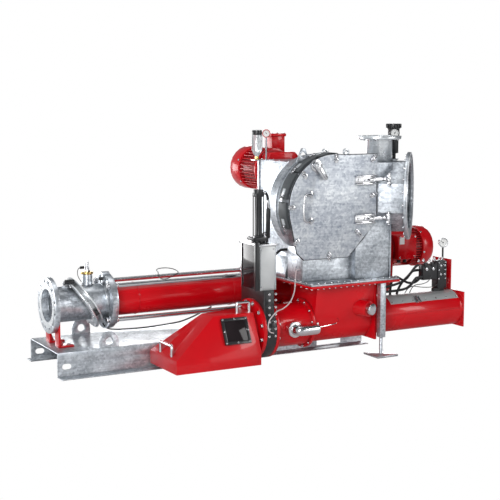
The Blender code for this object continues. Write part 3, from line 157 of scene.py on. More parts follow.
def fronts(xs, y, zs):
    """Places at each x and z that face the front."""
    return [front(x, y, z) for x in xs for z in zs]


def uprights(xs, ys, z):
    """Upright places at each x and y."""
    return [at(x, y, z) for x in xs for y in ys]


def settle(obj, place=None):
    """Puts an object's place into its mesh, so that the object itself sits at the origin."""
    only(obj)
    if place is not None:
        obj.matrix_world = place @ obj.matrix_world
    bpy.ops.object.transform_apply(location=True, rotation=True, scale=True)
    return obj


def modifier(obj, kind, **settings):
    """Adds a modifier, sets it and applies it."""
    only(obj)
    made = obj.modifiers.new(kind.lower(), kind)
    for key, value in settings.items():
        setattr(made, key, value)
    bpy.ops.object.modifier_apply(modifier=made.name)
    return obj


def rounded(obj, width, segments=2):
    return modifier(obj, "BEVEL", width=width, segments=segments, limit_method="ANGLE",
                    angle_limit=BEVEL_FROM)


def join_all(name, objects):
    """Joins objects into one piece."""
    first = objects[0]
    only(first)
    for obj in objects:
        obj.select_set(True)
    if len(objects) > 1:
        bpy.ops.object.join()
    first.name = first.data.name = name
    return first


# %% Helpers for primitives
def rod(radius, depth, sides=24, place=None, top=None):
    """A cylinder or cone that stands on its own origin and points along Z."""
    bpy.ops.mesh.primitive_cone_add(vertices=sides, radius1=radius, radius2=top or radius,
                                    depth=depth, location=(0, 0, depth / 2))
    return settle(bpy.context.object, place)


def slab(size, centre=(0, 0, 0), place=None):
    """A box of a size about a centre."""
    bpy.ops.mesh.primitive_cube_add(size=1, location=centre, scale=size)
    return settle(bpy.context.object, place)


def pipe_bend(route, radius, resolution=3):
    """A smooth bent bar or pipe through some points, made a mesh."""
    curve = bpy.data.curves.new("route", "CURVE")
    curve.dimensions = "3D"
    curve.bevel_depth = radius
    curve.bevel_resolution = resolution
    curve.use_fill_caps = True
    curve.resolution_u = 6
    spline = curve.splines.new("NURBS")
    spline.points.add(len(route) - 1)
    for point, where in zip(spline.points, route):
        point.co = (*where, 1)
    spline.use_endpoint_u = True
    spline.order_u = 3
    obj = bpy.data.objects.new("route", curve)
    SCENE.collection.objects.link(obj)
    only(obj)
    bpy.ops.object.convert(target="MESH")
    edit_all(bpy.context.object)
    close_up()
    return bpy.context.object


# %% [markdown]
# Several finishes share the same effects, so each effect is one node group with named inputs. It
# puts out colours, roughness and a height, and each material feeds them to its own shader.
#
# Hot dip zinc freezes in crystals, the spangle, each a little lighter or darker. Over it lie broad
# cloudy patches and faint rolling marks. Gloss paint is nearly even, with the slight ripple that
# is called orange peel. Castings and rubber have a fine grain.

# %% Helpers for node trees
GREY = (0.5, 0.5, 0.5, 1)
# Painted shade: seams and corners closer than SEAM_DEPTH to other surfaces are darkened towards the near
# black colour.
SEAM_DEPTH, PAINTED_SEAM_SHADE = 0.030, (0.012, 0.012, 0.014, 1)


def feed(tree, socket, value):
    """Links a value that comes from a node, or sets a plain one."""
    if isinstance(value, bpy.types.NodeSocket):
        tree.links.new(value, socket)
    else:
        socket.default_value = value


def add(tree, kind, settings=(), **inputs):
    """Adds a node with its options and its named inputs."""
    node = tree.nodes.new(kind)
    for key, value in dict(settings).items():
        setattr(node, key, value)
    for key, value in inputs.items():
        feed(tree, node.inputs[key.replace("_", " ")], value)
    return node


def noise(tree, where, scale, detail, **more):
    made = add(tree, "ShaderNodeTexNoise", Vector=where, Scale=scale, Detail=detail, **more)
    return made.outputs["Fac"]


def spread(tree, value, low, high, **more):
    """Maps a 0 to 1 value to a range."""
    return add(tree, "ShaderNodeMapRange", Value=value, To_Min=low, To_Max=high, **more).outputs[0]


def between(tree, factor, first, second):
    """A colour between two colours."""
    node = add(tree, "ShaderNodeMix", {"data_type": "RGBA"})
    for index, value in ((0, factor), (6, first), (7, second)):
        feed(tree, node.inputs[index], value)
    return node.outputs[2]


def weighed(tree, *parts):
    """The sum of some values, each times its share."""
    total = 0.0
    for value, share in parts:
        node = add(tree, "ShaderNodeMath", {"operation": "MULTIPLY_ADD"})
        for socket, number in zip(node.inputs, (value, share, total)):
            feed(tree, socket, number)
        total = node.outputs[0]
    return total


def with_painted_shade(tree, colour):
    """The colour with painted shade: darkened towards a near black in seams and corners, where little light
    gets in.
    """
    open_sky = add(tree, "ShaderNodeAmbientOcclusion", {"samples": 8}, Distance=SEAM_DEPTH)
    unshaded_share = spread(tree, open_sky.outputs["AO"], 0.40, 1.0, From_Min=0.25, From_Max=0.85)
    return between(tree, unshaded_share, PAINTED_SEAM_SHADE, colour)


def effect(name, **own):
    """A shader group with the shared inputs and its own, and the coordinates that it works in."""
    tree = bpy.data.node_groups.new(name, "ShaderNodeTree")
    inputs = {"Body": GREY, "Shade": GREY, "Polish": 0.3, "Dullness": 0.5, **own}
    kinds = {True: "NodeSocketColor", False: "NodeSocketFloat"}
    for label, value in inputs.items():
        kind = kinds[isinstance(value, tuple)]
        tree.interface.new_socket(name=label, in_out="INPUT", socket_type=kind).default_value = value
    for label in ("Color", "Roughness", "Height"):
        tree.interface.new_socket(name=label, in_out="OUTPUT", socket_type=kinds[label == "Color"])
    where = add(tree, "ShaderNodeTexCoord").outputs["Object"]
    return tree, tree.nodes.new("NodeGroupInput").outputs, where


def put_out(tree, colour, roughness, height):
    add(tree, "NodeGroupOutput", Color=colour, Roughness=roughness, Height=height)


# %% Zinc spangle
zinc, given, where = effect("zinc_spangle", Crystals=60.0, Clouds=5.0)
crystal = add(zinc, "ShaderNodeTexVoronoi", Vector=where, Scale=given["Crystals"], Randomness=1.0)
tone = add(zinc, "ShaderNodeSeparateColor", Color=crystal.outputs["Color"]).outputs[0]
patches = spread(zinc, noise(zinc, where, given["Clouds"], 5.0, Roughness=0.6), -0.6, 1.6)
stretched = add(zinc, "ShaderNodeMapping", Vector=where, Scale=(3.0, 3.0, 34.0)).outputs[0]
streaks = spread(zinc, noise(zinc, stretched, 2.4, 4.0), -0.5, 1.5)
mixed = weighed(zinc, (tone, 0.30), (patches, 0.42), (streaks, 0.28))
# The zinc's colour carries painted shade in its seams and corners.
put_out(zinc, with_painted_shade(zinc, between(zinc, mixed, given["Shade"], given["Body"])),
        spread(zinc, mixed, given["Dullness"], given["Polish"]), mixed)

# %% Gloss paint
paint, given, where = effect("gloss_paint", Ripple=160.0)
patches = spread(paint, noise(paint, where, 3.5, 4.0), -0.4, 1.4)
# The paint's colour carries painted shade in its seams and corners.
put_out(paint, with_painted_shade(paint, between(paint, patches, given["Shade"], given["Body"])),
        spread(paint, patches, given["Dullness"], given["Polish"]),
        noise(paint, where, given["Ripple"], 2.0))

# %% Fine grain
grain, given, where = effect("fine_grain", Grain=300.0)
fine = noise(grain, where, given["Grain"], 3.0)
patches = spread(grain, noise(grain, where, 9.0, 3.0), -0.4, 1.4)
put_out(grain, between(grain, patches, given["Shade"], given["Body"]),
        spread(grain, fine, given["Polish"], given["Dullness"]), fine)
print("node groups:", [tree.name for tree in bpy.data.node_groups])

# %% [markdown]
# A finish is a material and the slot that it stands for. The material places a group and
# sets the metal, coat and bump that are the same all over. Each row gives the effect, the strength
# of the bump, the light and the dark colour, and the roughness where it is polished and dull.

# %% Finishes
COAT_ROUGHNESS, BUMP_DEPTH = 0.04, 0.001


def finish(name, slot, worn, bump, body, shade, polish, dullness, metallic=0.0, gloss=0.5, coat=0.0,
           clear=0.0, **own):
    """A material that wears one of the effects, with the slot that it stands for."""
    made = bpy.data.materials.new(name)
    made.use_nodes = True
    tree = made.node_tree
    wears = add(tree, "ShaderNodeGroup", {"node_tree": worn}, Body=(*body, 1), Shade=(*shade, 1),
                Polish=polish, Dullness=dullness, **own).outputs
    bumps = add(tree, "ShaderNodeBump", Height=wears["Height"], Strength=bump, Distance=BUMP_DEPTH)
    shader = tree.nodes["Principled BSDF"].inputs
    for label, value in (("Base Color", wears["Color"]), ("Roughness", wears["Roughness"]),
                         ("Normal", bumps.outputs[0]), ("Metallic", metallic),
                         ("Specular IOR Level", gloss), ("Coat Weight", coat),
                         ("Coat Roughness", COAT_ROUGHNESS), ("Transmission Weight", clear)):
        feed(tree, shader[label], value)
    return made, slot


RED = finish("signal_red", "red_paint", paint, 0.10, (0.66, 0.002, 0.008), (0.50, 0.001, 0.005),
             0.24, 0.36, gloss=0.22, coat=0.35)
ZINC = finish("galvanised_zinc", "galvanised", zinc, 0.14, (0.92, 0.96, 1.0), (0.13, 0.15, 0.185),
              0.28, 0.46, metallic=0.85, Crystals=75.0, Clouds=6.0)
DOOR_ZINC = finish("door_zinc", "galvanised", zinc, 0.12, (0.98, 1.0, 1.0), (0.16, 0.20, 0.29),
                   0.40, 0.60, metallic=0.7, Crystals=75.0, Clouds=4.0)
PLATE_ZINC = finish("bright_zinc", "galvanised", zinc, 0.06, (0.95, 0.97, 0.98), (0.62, 0.65, 0.68),
                    0.22, 0.38, metallic=0.75, Crystals=120.0, Clouds=9.0)
STEEL = finish("bright_steel", "bright_steel", grain, 0.03, (0.76, 0.76, 0.77), (0.62, 0.62, 0.64),
               0.12, 0.24, metallic=1.0, Grain=400.0)
BLACK = finish("satin_black", "black_paint", grain, 0.08, (0.018, 0.018, 0.020), (0.008, 0.008, 0.009),
               0.28, 0.42, coat=0.2)
BAND = finish("band_grey", "dark_band", grain, 0.08, (0.13, 0.14, 0.145), (0.06, 0.065, 0.07),
              0.34, 0.5, metallic=0.35)
COVER = finish("cover_grey", "light_grey", grain, 0.04, (0.62, 0.63, 0.63), (0.52, 0.53, 0.53),
               0.34, 0.44, metallic=0.5)
SMOKE = finish("smoked_pane", "smoked_pane", grain, 0.01, (0.022, 0.016, 0.018), (0.012, 0.009, 0.010),
               0.05, 0.09, gloss=0.15, coat=0.1)
CLEAR = finish("clear_bowl", "clear_plastic", grain, 0.02, (0.90, 0.93, 0.94), (0.80, 0.84, 0.86),
               0.05, 0.12, coat=0.3, clear=0.55)
RUBBER = finish("hose_rubber", "black_rubber", grain, 0.15, (0.022, 0.022, 0.024), (0.010, 0.010, 0.011),
                0.42, 0.6)
LEAD = finish("lead_sheath", "lead_grey", grain, 0.05, (0.62, 0.56, 0.56), (0.50, 0.44, 0.45), 0.35, 0.5)
DIAL = finish("dial_face", "lead_grey", grain, 0.0, (0.86, 0.86, 0.84), (0.80, 0.80, 0.78),
              0.18, 0.26, coat=0.8)
BRASS = finish("yellow_brass", "bright_steel", grain, 0.04, (0.78, 0.56, 0.20), (0.62, 0.42, 0.14),
               0.2, 0.34, metallic=1.0)
print("finishes:", len(bpy.data.materials))

# %% [markdown]
# The frame's solids are faceted and sharp. Real sheet, castings and pipes have rounded edges that
# catch the light. So each solid gets a copy whose triangles are merged back into faces, with its
# sharp edges bevelled by a few millimetres, and the copy stands in the solid's place.


# %% Dressing the frame's solids
def fit(name, parts, look, bevel=0, body="machine", nodes=()):
    """Joins, rounds and smooths a piece, gives it a finish and lets it ride. It may stand for nodes."""
    piece = join_all(name, parts if isinstance(parts, list) else [parts])
    if bevel:
        rounded(piece, bevel)
    only(piece)
    bpy.ops.object.shade_smooth_by_angle(angle=SMOOTH_TO)
    piece.data.materials.clear()
    piece.data.materials.append(look[0])
    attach(piece, body)
    if nodes:
        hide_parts(*nodes)


def merged(node):
    """A copy of a node's mesh with its triangles merged back into faces."""
    piece = bpy.data.objects.new(node, NODES[node].data.copy())
    SCENE.collection.objects.link(piece)
    edit_all(piece)
    bpy.ops.mesh.remove_doubles(threshold=MERGE)
    bpy.ops.mesh.dissolve_limited(angle_limit=radians(0.5))
    object_mode()
    return piece


DRESSES = (
    (RED, 0.001, "hydraulic_bracket"), (RED, 0.0015, "debris_hood"),
    (RED, 0.002, "discharge_support stator_tube casing_saddle trough_tube hood_flange"),
    (RED, 0.003, "trough_flange screw_trough debris_pipe drive_adapter"),
    (RED, 0.004, "pump_casing mixer_motor mixer_terminal_box pump_motor pump_terminal_box"),
    (RED, 0.008, "mixer_gearbox"), (RED, 0.010, "pump_gearbox"),
    (ZINC, 0.001, "housing_lip drum_shell inlet_duct regulator_bar"),
    (ZINC, 0.002, "discharge_pipe sensor_pipe levelling_foot"), (ZINC, 0.0025, "base_frame"),
    (ZINC, 0.003, "support_leg housing_rear housing_front rear_chute inlet_flange stator_clamp"),
    (STEEL, 0.001, "tie_rods reservoir_bracket hinge_bracket_upper hinge_bracket_lower"),
    (STEEL, 0.002, "guard_top_plate"), (STEEL, 0.003, "branch_cap drain_elbow"),
    (BLACK, 0.002, "gate_cylinder"), (BLACK, 0.003, "gate_valve_body air_regulator hydraulic_block"),
    (COVER, 0.001, "guard_cover"), (SMOKE, 0.001, "guard_sides hood_window"),
    (PLATE_ZINC, 0.003, "top_nozzle"), (CLEAR, 0.002, "oil_reservoir"),
    (RUBBER, 0, "hydraulic_hose_1 hydraulic_hose_2 gate_hose"), (LEAD, 0, "sensor_lead"),
    (STEEL, 0.0015, "door_handle door_latch"), (DOOR_ZINC, 0.002, "door"),
)
BODY_OF = {"door_handle": "door", "door": "door", "door_latch": "latch"}
dressed = 0
for look, bevel, names in DRESSES:
    for node in names.split():
        fit(f"{node}_skin", merged(node), look, bevel, BODY_OF.get(node, "machine"), (node,))
        dressed += 1
print("dressed solids:", dressed)

# %% [markdown]
# Most of what the frame leaves out is fasteners and turned fittings. A hexagon bolt is a washer and
# a chamfered head, modelled once and copied to each place. Rings are open cylinders that the
# Solidify modifier gives a wall. Many places come from the frame's own boxes, so that those bolts
# stay on their flanges when a size changes.


# %% Bolts, rings and places
def hex_bolt(radius):
    """A hexagon head on a washer, standing on its own origin."""
    washer = rounded(rod(radius * 1.3, radius * 0.24, 16), radius * 0.06, 1)
    head = rounded(rod(radius, radius * 0.8, 6, at(0, 0, radius * 0.22)), radius * 0.14, 1)
    return join_all("bolt_master", [washer, head])


def repeated(name, master, places, look, body="machine"):
    """A master piece copied to some places, as one piece. The master itself goes."""
    made = []
    for place in places:
        copy = bpy.data.objects.new(name, master.data.copy())
        SCENE.collection.objects.link(copy)
        copy.data.transform(place)
        made.append(copy)
    bpy.data.objects.remove(master)
    fit(name, made, look, 0, body)


def bolts(name, radius, places, body="machine"):
    repeated(name, hex_bolt(radius), places, STEEL, body)


def tube(inner, outer, depth, sides=32, place=None):
    """A ring that stands on its own origin and points along Z."""
    bpy.ops.mesh.primitive_cylinder_add(vertices=sides, radius=outer, depth=depth,
                                        end_fill_type="NOTHING", location=(0, 0, depth / 2))
    return settle(modifier(bpy.context.object, "SOLIDIFY", thickness=outer - inner, offset=-1,
                           use_even_offset=True), place)


def wire_ring(radius, wire, place=None, sides=40):
    """A round bead, such as a weld or an O-ring."""
    bpy.ops.mesh.primitive_torus_add(major_radius=radius, minor_radius=wire, major_segments=sides,
                                     minor_segments=8)
    return settle(bpy.context.object, place)


def box_point(node, *shares):
    """A point of a node's box: 0 is the low side and 1 the high side along each axis."""
    low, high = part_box(node)
    return Vector([a + (b - a) * share for a, b, share in zip(low, high, shares)])


pump_middle = box_point("stator_tube", 0, 0.5, 0.5)
PUMP_Y, PUMP_Z = pump_middle.y, pump_middle.z
PIPE_R = 0.1095


def pump_axis(x, normal=X_AXIS, aside=(0, 0, 0)):
    """A place on the pump's axis, or aside of it."""
    return facing(Vector((x, PUMP_Y, PUMP_Z)) + Vector(aside), normal)


print("pump axis at y, z:", round(PUMP_Y, 3), round(PUMP_Z, 3))

# %% [markdown]
# The delivery end. The outlet's flange has a raised sealing face, a weld behind it and a lining in
# its bore. The two halves of the oblique joint have a thin flange each, which a band clamp holds, so
# the solid collar of the frame becomes two plates with a recess between them.

# %% Outlet flange and oblique joint
outlet = box_point("discharge_pipe", 0, 0, 0).x
fit("outlet_sealing_face", tube(PIPE_R - 0.008, 0.138, 0.002, 48, pump_axis(outlet, -X_AXIS)), PLATE_ZINC)
linings = [tube(0.088, 0.1034, 0.008, 32, pump_axis(outlet + reach, -X_AXIS))
           for reach in (0.045, 0.095, 0.150)]
fit("outlet_lining_rings", [rounded(lining, 0.001) for lining in linings], ZINC)
clamp_left, clamp_right = (box_point("stator_clamp", share, 0, 0).x for share in (0, 1))
fit("pipe_welds", [wire_ring(PIPE_R + 0.001, 0.0035, pump_axis(x))
                   for x in (outlet + 0.028, clamp_left - 0.002)], ZINC)

COLLAR_TILT = radians(32)
COLLAR_NORMAL = Vector((cos(COLLAR_TILT), 0, sin(COLLAR_TILT)))
COLLAR_UP = Vector((-sin(COLLAR_TILT), 0, cos(COLLAR_TILT)))
COLLAR_R, COLLAR_T, COLLAR_PLATE, COLLAR_HUB_R, COLLAR_BOLTS_R = 0.175, 0.045, 0.009, 0.150, 0.160
collar_middle = box_point("oblique_collar", 0.5, 0.5, 0.5)


def collar_place(shift, aside=Vector()):
    return facing(collar_middle + COLLAR_NORMAL * shift + aside, -COLLAR_NORMAL)


plates = [rounded(tube(PIPE_R, COLLAR_R, COLLAR_PLATE, 56, collar_place(shift)), 0.002)
          for shift in (-COLLAR_T / 2 + COLLAR_PLATE, COLLAR_T / 2)]
hub_length = COLLAR_T - COLLAR_PLATE
hub = tube(PIPE_R, COLLAR_HUB_R, hub_length, 48, collar_place(hub_length / 2))
fit("oblique_joint", [*plates, hub], PLATE_ZINC, nodes=("oblique_collar",))
turns = [pi / 8 + pi / 4 * step for step in range(8)]
spokes = [(FRONT * cos(turn) + COLLAR_UP * sin(turn)) * COLLAR_BOLTS_R for turn in turns]
bolts("joint_bolts", 0.009, [collar_place(-COLLAR_T / 2, spoke) for spoke in spokes])
knob_end = collar_middle + COLLAR_UP * 0.168 + FRONT * 0.05
fit("clamp_knob", rod(0.015, 0.062, 12, facing(knob_end + X_AXIS * 0.015, -X_AXIS)), BLACK, 0.004)
latch_at = at(collar_middle + FRONT * 0.158 - COLLAR_UP * 0.05) @ spun(-COLLAR_TILT, "Y")
fit("clamp_latch", slab((0.026, 0.016, 0.034), place=latch_at), BLACK, 0.003)
print("oblique joint at:", [round(number, 3) for number in collar_middle])

# %% [markdown]
# The pressure tapping stands on the pipe's stub. Its brass ring, hexagon and body are one turned
# stack, which starts as a circle that is raised and widened from height to height.


# %% Pressure tapping
def turned(profile, sides=24, place=None):
    """A turned piece: a filled circle is extruded and scaled through (radius, height) pairs."""
    radius, height = profile[0]
    bpy.ops.mesh.primitive_circle_add(vertices=sides, radius=radius, fill_type="NGON",
                                      location=(0, 0, height))
    obj = bpy.context.object
    edit_all(obj)
    for wider, higher in profile[1:]:
        bpy.ops.mesh.extrude_region_move(TRANSFORM_OT_translate={"value": (0, 0, higher - height)})
        bpy.ops.transform.resize(value=(wider / radius, wider / radius, 1),
                                 center_override=(0, 0, higher))
        radius, height = wider, higher
    close_up()
    return settle(obj, place)


tapping = box_point("pressure_sensor", 0.5, 0.5, 0)
seat = at(tapping)
body = turned([(0.014, 0.012), (0.014, 0.044), (0.0125, 0.048), (0.0125, 0.066), (0.010, 0.072),
               (0.010, 0.0798)], 20, seat)
hexagon = rounded(rod(0.019, 0.012, 6, seat @ at(0, 0, 0.014)), 0.0015)
fit("pressure_sensor_body", [body, hexagon], STEEL, nodes=("pressure_sensor",))
fit("sensor_brass_ring", tube(0.012, 0.0384, 0.0138, 28, seat), BRASS, 0.003)
fit("stub_weld", wire_ring(0.034, 0.004, facing(tapping - Z_AXIS * 0.066, Z_AXIS), 28), ZINC)
plug_at = tapping + Vector((-0.018, -0.004, 0.042))
fit("sensor_plug", rod(0.0085, 0.030, 14, facing(plug_at, -X_AXIS)), BLACK, 0.002)
lead_route = [plug_at + Vector((-0.029 + x, y, z)) for x, y, z in
              ((0, 0, 0), (-0.012, 0, -0.004), (-0.022, -0.01, -0.03), (-0.022, -0.03, -0.058),
               (-0.012, -0.05, -0.078))]
fit("sensor_wire", pipe_bend(lead_route, 0.0022), RUBBER)
print("sensor stands at:", [round(number, 3) for number in tapping])

# %% [markdown]
# The stator is squeezed between the clamp ring and the casing by four tie rods. Each rod ends in a
# nut, and the ear on the clamp is slotted for lifting. The feet of the cradle and of the casing's
# saddle are bolted to the base.

# %% Stator, tie rods and feet
casing_left = box_point("pump_casing", 0, 0, 0).x
ROD_CIRCLE_R, FOOT_T = 0.15, 0.012
spokes = [(0, cos(turn) * ROD_CIRCLE_R, sin(turn) * ROD_CIRCLE_R)
          for turn in (pi / 4, pi * 3 / 4, pi * 5 / 4, pi * 7 / 4)]
bolts("tie_rod_nuts", 0.020, [pump_axis(x, normal, spoke) for spoke in spokes for x, normal in
                              ((clamp_left + 0.012, -X_AXIS), (casing_left - 0.014, -X_AXIS),
                               (clamp_right, X_AXIS))])
fit("stator_end_rings", [rounded(tube(0.0995, 0.112, 0.016, 40, pump_axis(x)), 0.004)
                         for x in (clamp_right + 0.0005, casing_left - 0.034)], RED)
fit("stator_seams", [wire_ring(0.1005, 0.0025, pump_axis(x)) for x in (-0.83, -0.16)], RED)
support_low, support_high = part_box("discharge_support")
feet = [at(support_high[0] - 0.022, PUMP_Y + side, support_low[2] + FOOT_T) for side in (-0.085, 0.085)]
saddle_low, saddle_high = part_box("casing_saddle")
feet += uprights((saddle_low[0] + 0.015, saddle_high[0] - 0.015),
                 (saddle_low[1] + 0.022, saddle_high[1] - 0.022), saddle_low[2] + FOOT_T)
bolts("foot_bolts", 0.011, feet)
pad_middle = (clamp_left - 0.016, PUMP_Y - 0.052, PUMP_Z + 0.148)
fit("clamp_pad", slab((0.030, 0.020, 0.020), pad_middle), BLACK, 0.003)
print("tie rods run from", round(clamp_left, 3), "to", round(casing_left, 3))

# %% [markdown]
# The debris line. Its flanges are bolted through the knife gate, whose black body has a row of
# small bolts down each edge. Over it stands the guard: a grey cover in front, smoked panes at the
# sides, a black post at the corner and the hydraulic cylinder on top.

# %% Flange and gate bolts
SCREW_Y, SCREW_Z = -0.33, 0.222
LINE_FLANGE_T = 0.0223


def screw_ring(x, normal, radius, start):
    """Twelve places round the screw's axis."""
    return around((x, SCREW_Y, SCREW_Z), normal, radius, 12, start)


valve_low, valve_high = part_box("gate_valve_body")
line_bolts = screw_ring(valve_low[0] - LINE_FLANGE_T, -X_AXIS, 0.168, 0.26)
line_bolts += screw_ring(valve_high[0] + LINE_FLANGE_T, X_AXIS, 0.168, 0.26)
bolts("debris_line_bolts", 0.0115, line_bolts)
trough_left = box_point("screw_trough", 0, 0, 0).x
bolts("trough_joint_bolts", 0.007, screw_ring(trough_left - 0.0225, -X_AXIS, 0.1465, 0.2))
gate_bolts = fronts((valve_low[0] + 0.013, valve_high[0] - 0.013), valve_low[1],
                    (0.20, 0.245, 0.29, 0.335, 0.38, 0.425, 0.462))
bolts("gate_body_bolts", 0.0062, gate_bolts)
valve_x = (valve_low[0] + valve_high[0]) / 2
packing = [slab((0.018, 0.006, 0.026), (valve_x, valve_low[1] - 0.002, SCREW_Z + 0.045 * step))
           for step in range(5)]
fit("gate_packing_blocks", [rounded(block, 0.002) for block in packing], BLACK)
print("bolts on the debris line:", len(line_bolts) + 12 + len(gate_bolts))

# %% Guard, cylinder and its fittings
cover_low, cover_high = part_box("guard_cover")
cover_z, cover_height = (cover_low[2] + cover_high[2]) / 2, cover_high[2] - cover_low[2]
bolts("cover_screws", 0.0045, fronts((cover_low[0] + 0.014, cover_high[0] - 0.014), cover_low[1],
                                     (cover_low[2] + 0.02, cover_high[2] - 0.02)))
# Bright strips on the cover's two folded edges: the folds are real, their brightness is a painted highlight
# along the bends.
fit("cover_folds_painted_highlight", [slab((0.003, 0.008, cover_height), (x, cover_low[1] - 0.003, cover_z))
                           for x in (cover_low[0] + 0.002, cover_high[0] - 0.002)], PLATE_ZINC, 0.001)
sides_low, sides_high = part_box("guard_sides")
sides_z, POST_HEIGHT = (sides_low[2] + sides_high[2]) / 2, 0.296
post_middle = (sides_low[0] - 0.0152, cover_low[1] + 0.012, sides_low[2] + POST_HEIGHT / 2)
fit("guard_post", slab((0.030, 0.024, POST_HEIGHT), post_middle), BLACK, 0.002)
edge_middle = (sides_low[0] - 0.0021, sides_high[1] - 0.005, sides_z)
fit("guard_rear_edge", slab((0.004, 0.010, sides_high[2] - sides_low[2]), edge_middle), STEEL, 0.001)
cylinder_low, cylinder_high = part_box("gate_cylinder")
cylinder = box_point("gate_cylinder", 0.5, 0.5, 0)


def on_cylinder(x, y, z):
    """A point given from the cylinder's axis."""
    return cylinder.x + x, cylinder.y + y, z


foot_middle = on_cylinder(-0.024, -0.03, cylinder_low[2] + 0.026)
fit("cylinder_foot", slab((0.100, 0.086, 0.020), foot_middle), BLACK, 0.003)
bolts("cylinder_foot_bolts", 0.007, [at(on_cylinder(x, y, cylinder_low[2] + 0.0355))
                                     for x in (-0.064, 0.016) for y in (-0.063, 0.003)])
fit("cylinder_stays", [rod(0.0035, 0.27, 10, at(on_cylinder(x, y, 0.80)))
                       for x in (-0.0235, 0.0235) for y in (-0.0235, 0.0235)], BLACK)
head_middle = on_cylinder(0, 0, cylinder_high[2] - 0.034)
fit("cylinder_head", slab((0.056, 0.056, 0.020), head_middle), BLACK, 0.004)
port = rod(0.012, 0.018, 6, facing(on_cylinder(0.0305, 0, cylinder_high[2] - 0.022), X_AXIS))
sleeve = rod(0.0115, 0.052, 18, facing((-0.1085, -0.3325, 0.972), (-0.13, -0.05, 1)))
fit("hose_fittings", [rounded(port, 0.0015), rounded(sleeve, 0.0015)], STEEL)
shield_place = facing((-0.1035, -0.314, 0.782), (-0.03, -0.09, 1))
fit("hose_shield", rod(0.0145, 0.185, 20, shield_place), BLACK, 0.002)
fit("lower_port", rod(0.011, 0.030, 6, facing(on_cylinder(0.024, 0, 0.812), X_AXIS)), STEEL, 0.0015)
print("guard stands at x:", [round(sides_low[0], 3), round(sides_high[0], 3)])

# %% [markdown]
# The sieve drum's shell wears a dark band in segments, which small bolts pull together. Each
# segment is a rectangle spun about the drum's axis. Eight swing clamps press the door on its seal.

# %% Drum band
DRUM_X, DRUM_Z = 0.265, 0.978
BAND_INNER, BAND_OUTER, STRAP_T = 0.3188, 0.334, 0.004
band_low, band_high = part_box("drum_band")


def curved_bar(inner, outer, front, back, start, end, steps):
    """A rectangle between two radii, spun about the drum's axis between two angles in degrees."""
    start, end = radians(start), radians(end)
    bpy.ops.mesh.primitive_plane_add(size=1, location=(0, 0, 0))
    bar = settle(bpy.context.object, Matrix.Diagonal((outer - inner, back - front, 1, 1)))
    middle = at((inner + outer) / 2, (front + back) / 2, 0)
    settle(bar, at(DRUM_X, 0, DRUM_Z) @ spun(-start, "Y") @ middle)
    edit_all(bar)
    bpy.ops.mesh.spin(steps=steps, angle=start - end, center=(DRUM_X, 0, DRUM_Z), axis=(0, 1, 0))
    close_up()
    return bar


def on_drum(radius, degrees, y):
    """A place on the drum that faces away from its axis."""
    spoke = Vector((cos(radians(degrees)), 0, sin(radians(degrees))))
    return facing(Vector((DRUM_X, y, DRUM_Z)) + spoke * radius, spoke)


SEGMENTS = ((96, 109.5), (111, 136), (138, 168.5), (170.5, 201), (203, 232))
band = [curved_bar(BAND_INNER, BAND_OUTER, band_low[1], band_high[1], *ends, 10) for ends in SEGMENTS]
fit("drum_band_segments", [rounded(bar, 0.002) for bar in band], BAND, nodes=("drum_band",))
band_y = (band_low[1] + band_high[1]) / 2
joints = [(before[1] + after[0]) / 2 for before, after in zip(SEGMENTS, SEGMENTS[1:])]
straps = [curved_bar(BAND_OUTER - 0.001, BAND_OUTER + STRAP_T, band_y - 0.014, band_y + 0.014,
                     angle - 3.4, angle + 3.4, 4) for angle in joints]
fit("band_straps", [rounded(strap, 0.001) for strap in straps], PLATE_ZINC)
bolts("band_bolts", 0.009, [on_drum(BAND_OUTER + STRAP_T, angle + turn, band_y) for angle in joints
                            for turn in (-2, 2)])
print("band segments:", len(SEGMENTS))

# %% Door clamps
DOOR_FACE_Y = -0.51
CLAMPS = ((0.045, 1.180), (-0.045, 0.985), (-0.010, 0.772), (0.226, 0.672), (0.440, 0.806),
          (0.553, 1.039), (0.552, 1.270), (0.272, 1.274))


def door_clamp():
    """An eye bolt over a small pad, with its nut. Its own Z points away from the door."""
    pad = rounded(slab((0.046, 0.022, 0.005), (0, 0, 0.0025)), 0.0015)
    nut = rounded(rod(0.012, 0.011, 6, at(0.006, 0, 0.0048)), 0.0012)
    washer = rod(0.0145, 0.002, 16, at(0.006, 0, 0.0042))
    stud = rod(0.0055, 0.012, 10, at(0.006, 0, 0.012))
    eye = wire_ring(0.009, 0.0045, at(-0.018, 0, 0.0075), 16)
    return join_all("clamp_master", [pad, nut, washer, rounded(stud, 0.001), eye])


repeated("door_clamps", door_clamp(),
         [at(x, DOOR_FACE_Y, z) @ spun(pi - atan2(z - DRUM_Z, x - DRUM_X), "Y") @ spun(pi / 2, "X")
          for x, z in CLAMPS], STEEL, "door")
print("door clamps:", len(CLAMPS))

# %% [markdown]
# The door hangs on two channel straps whose arms end in eyes. The handle stands on two diamond
# feet, and the cam latch has a broad boss. All of them ride on the door, and the latch's own pieces
# ride on the latch.

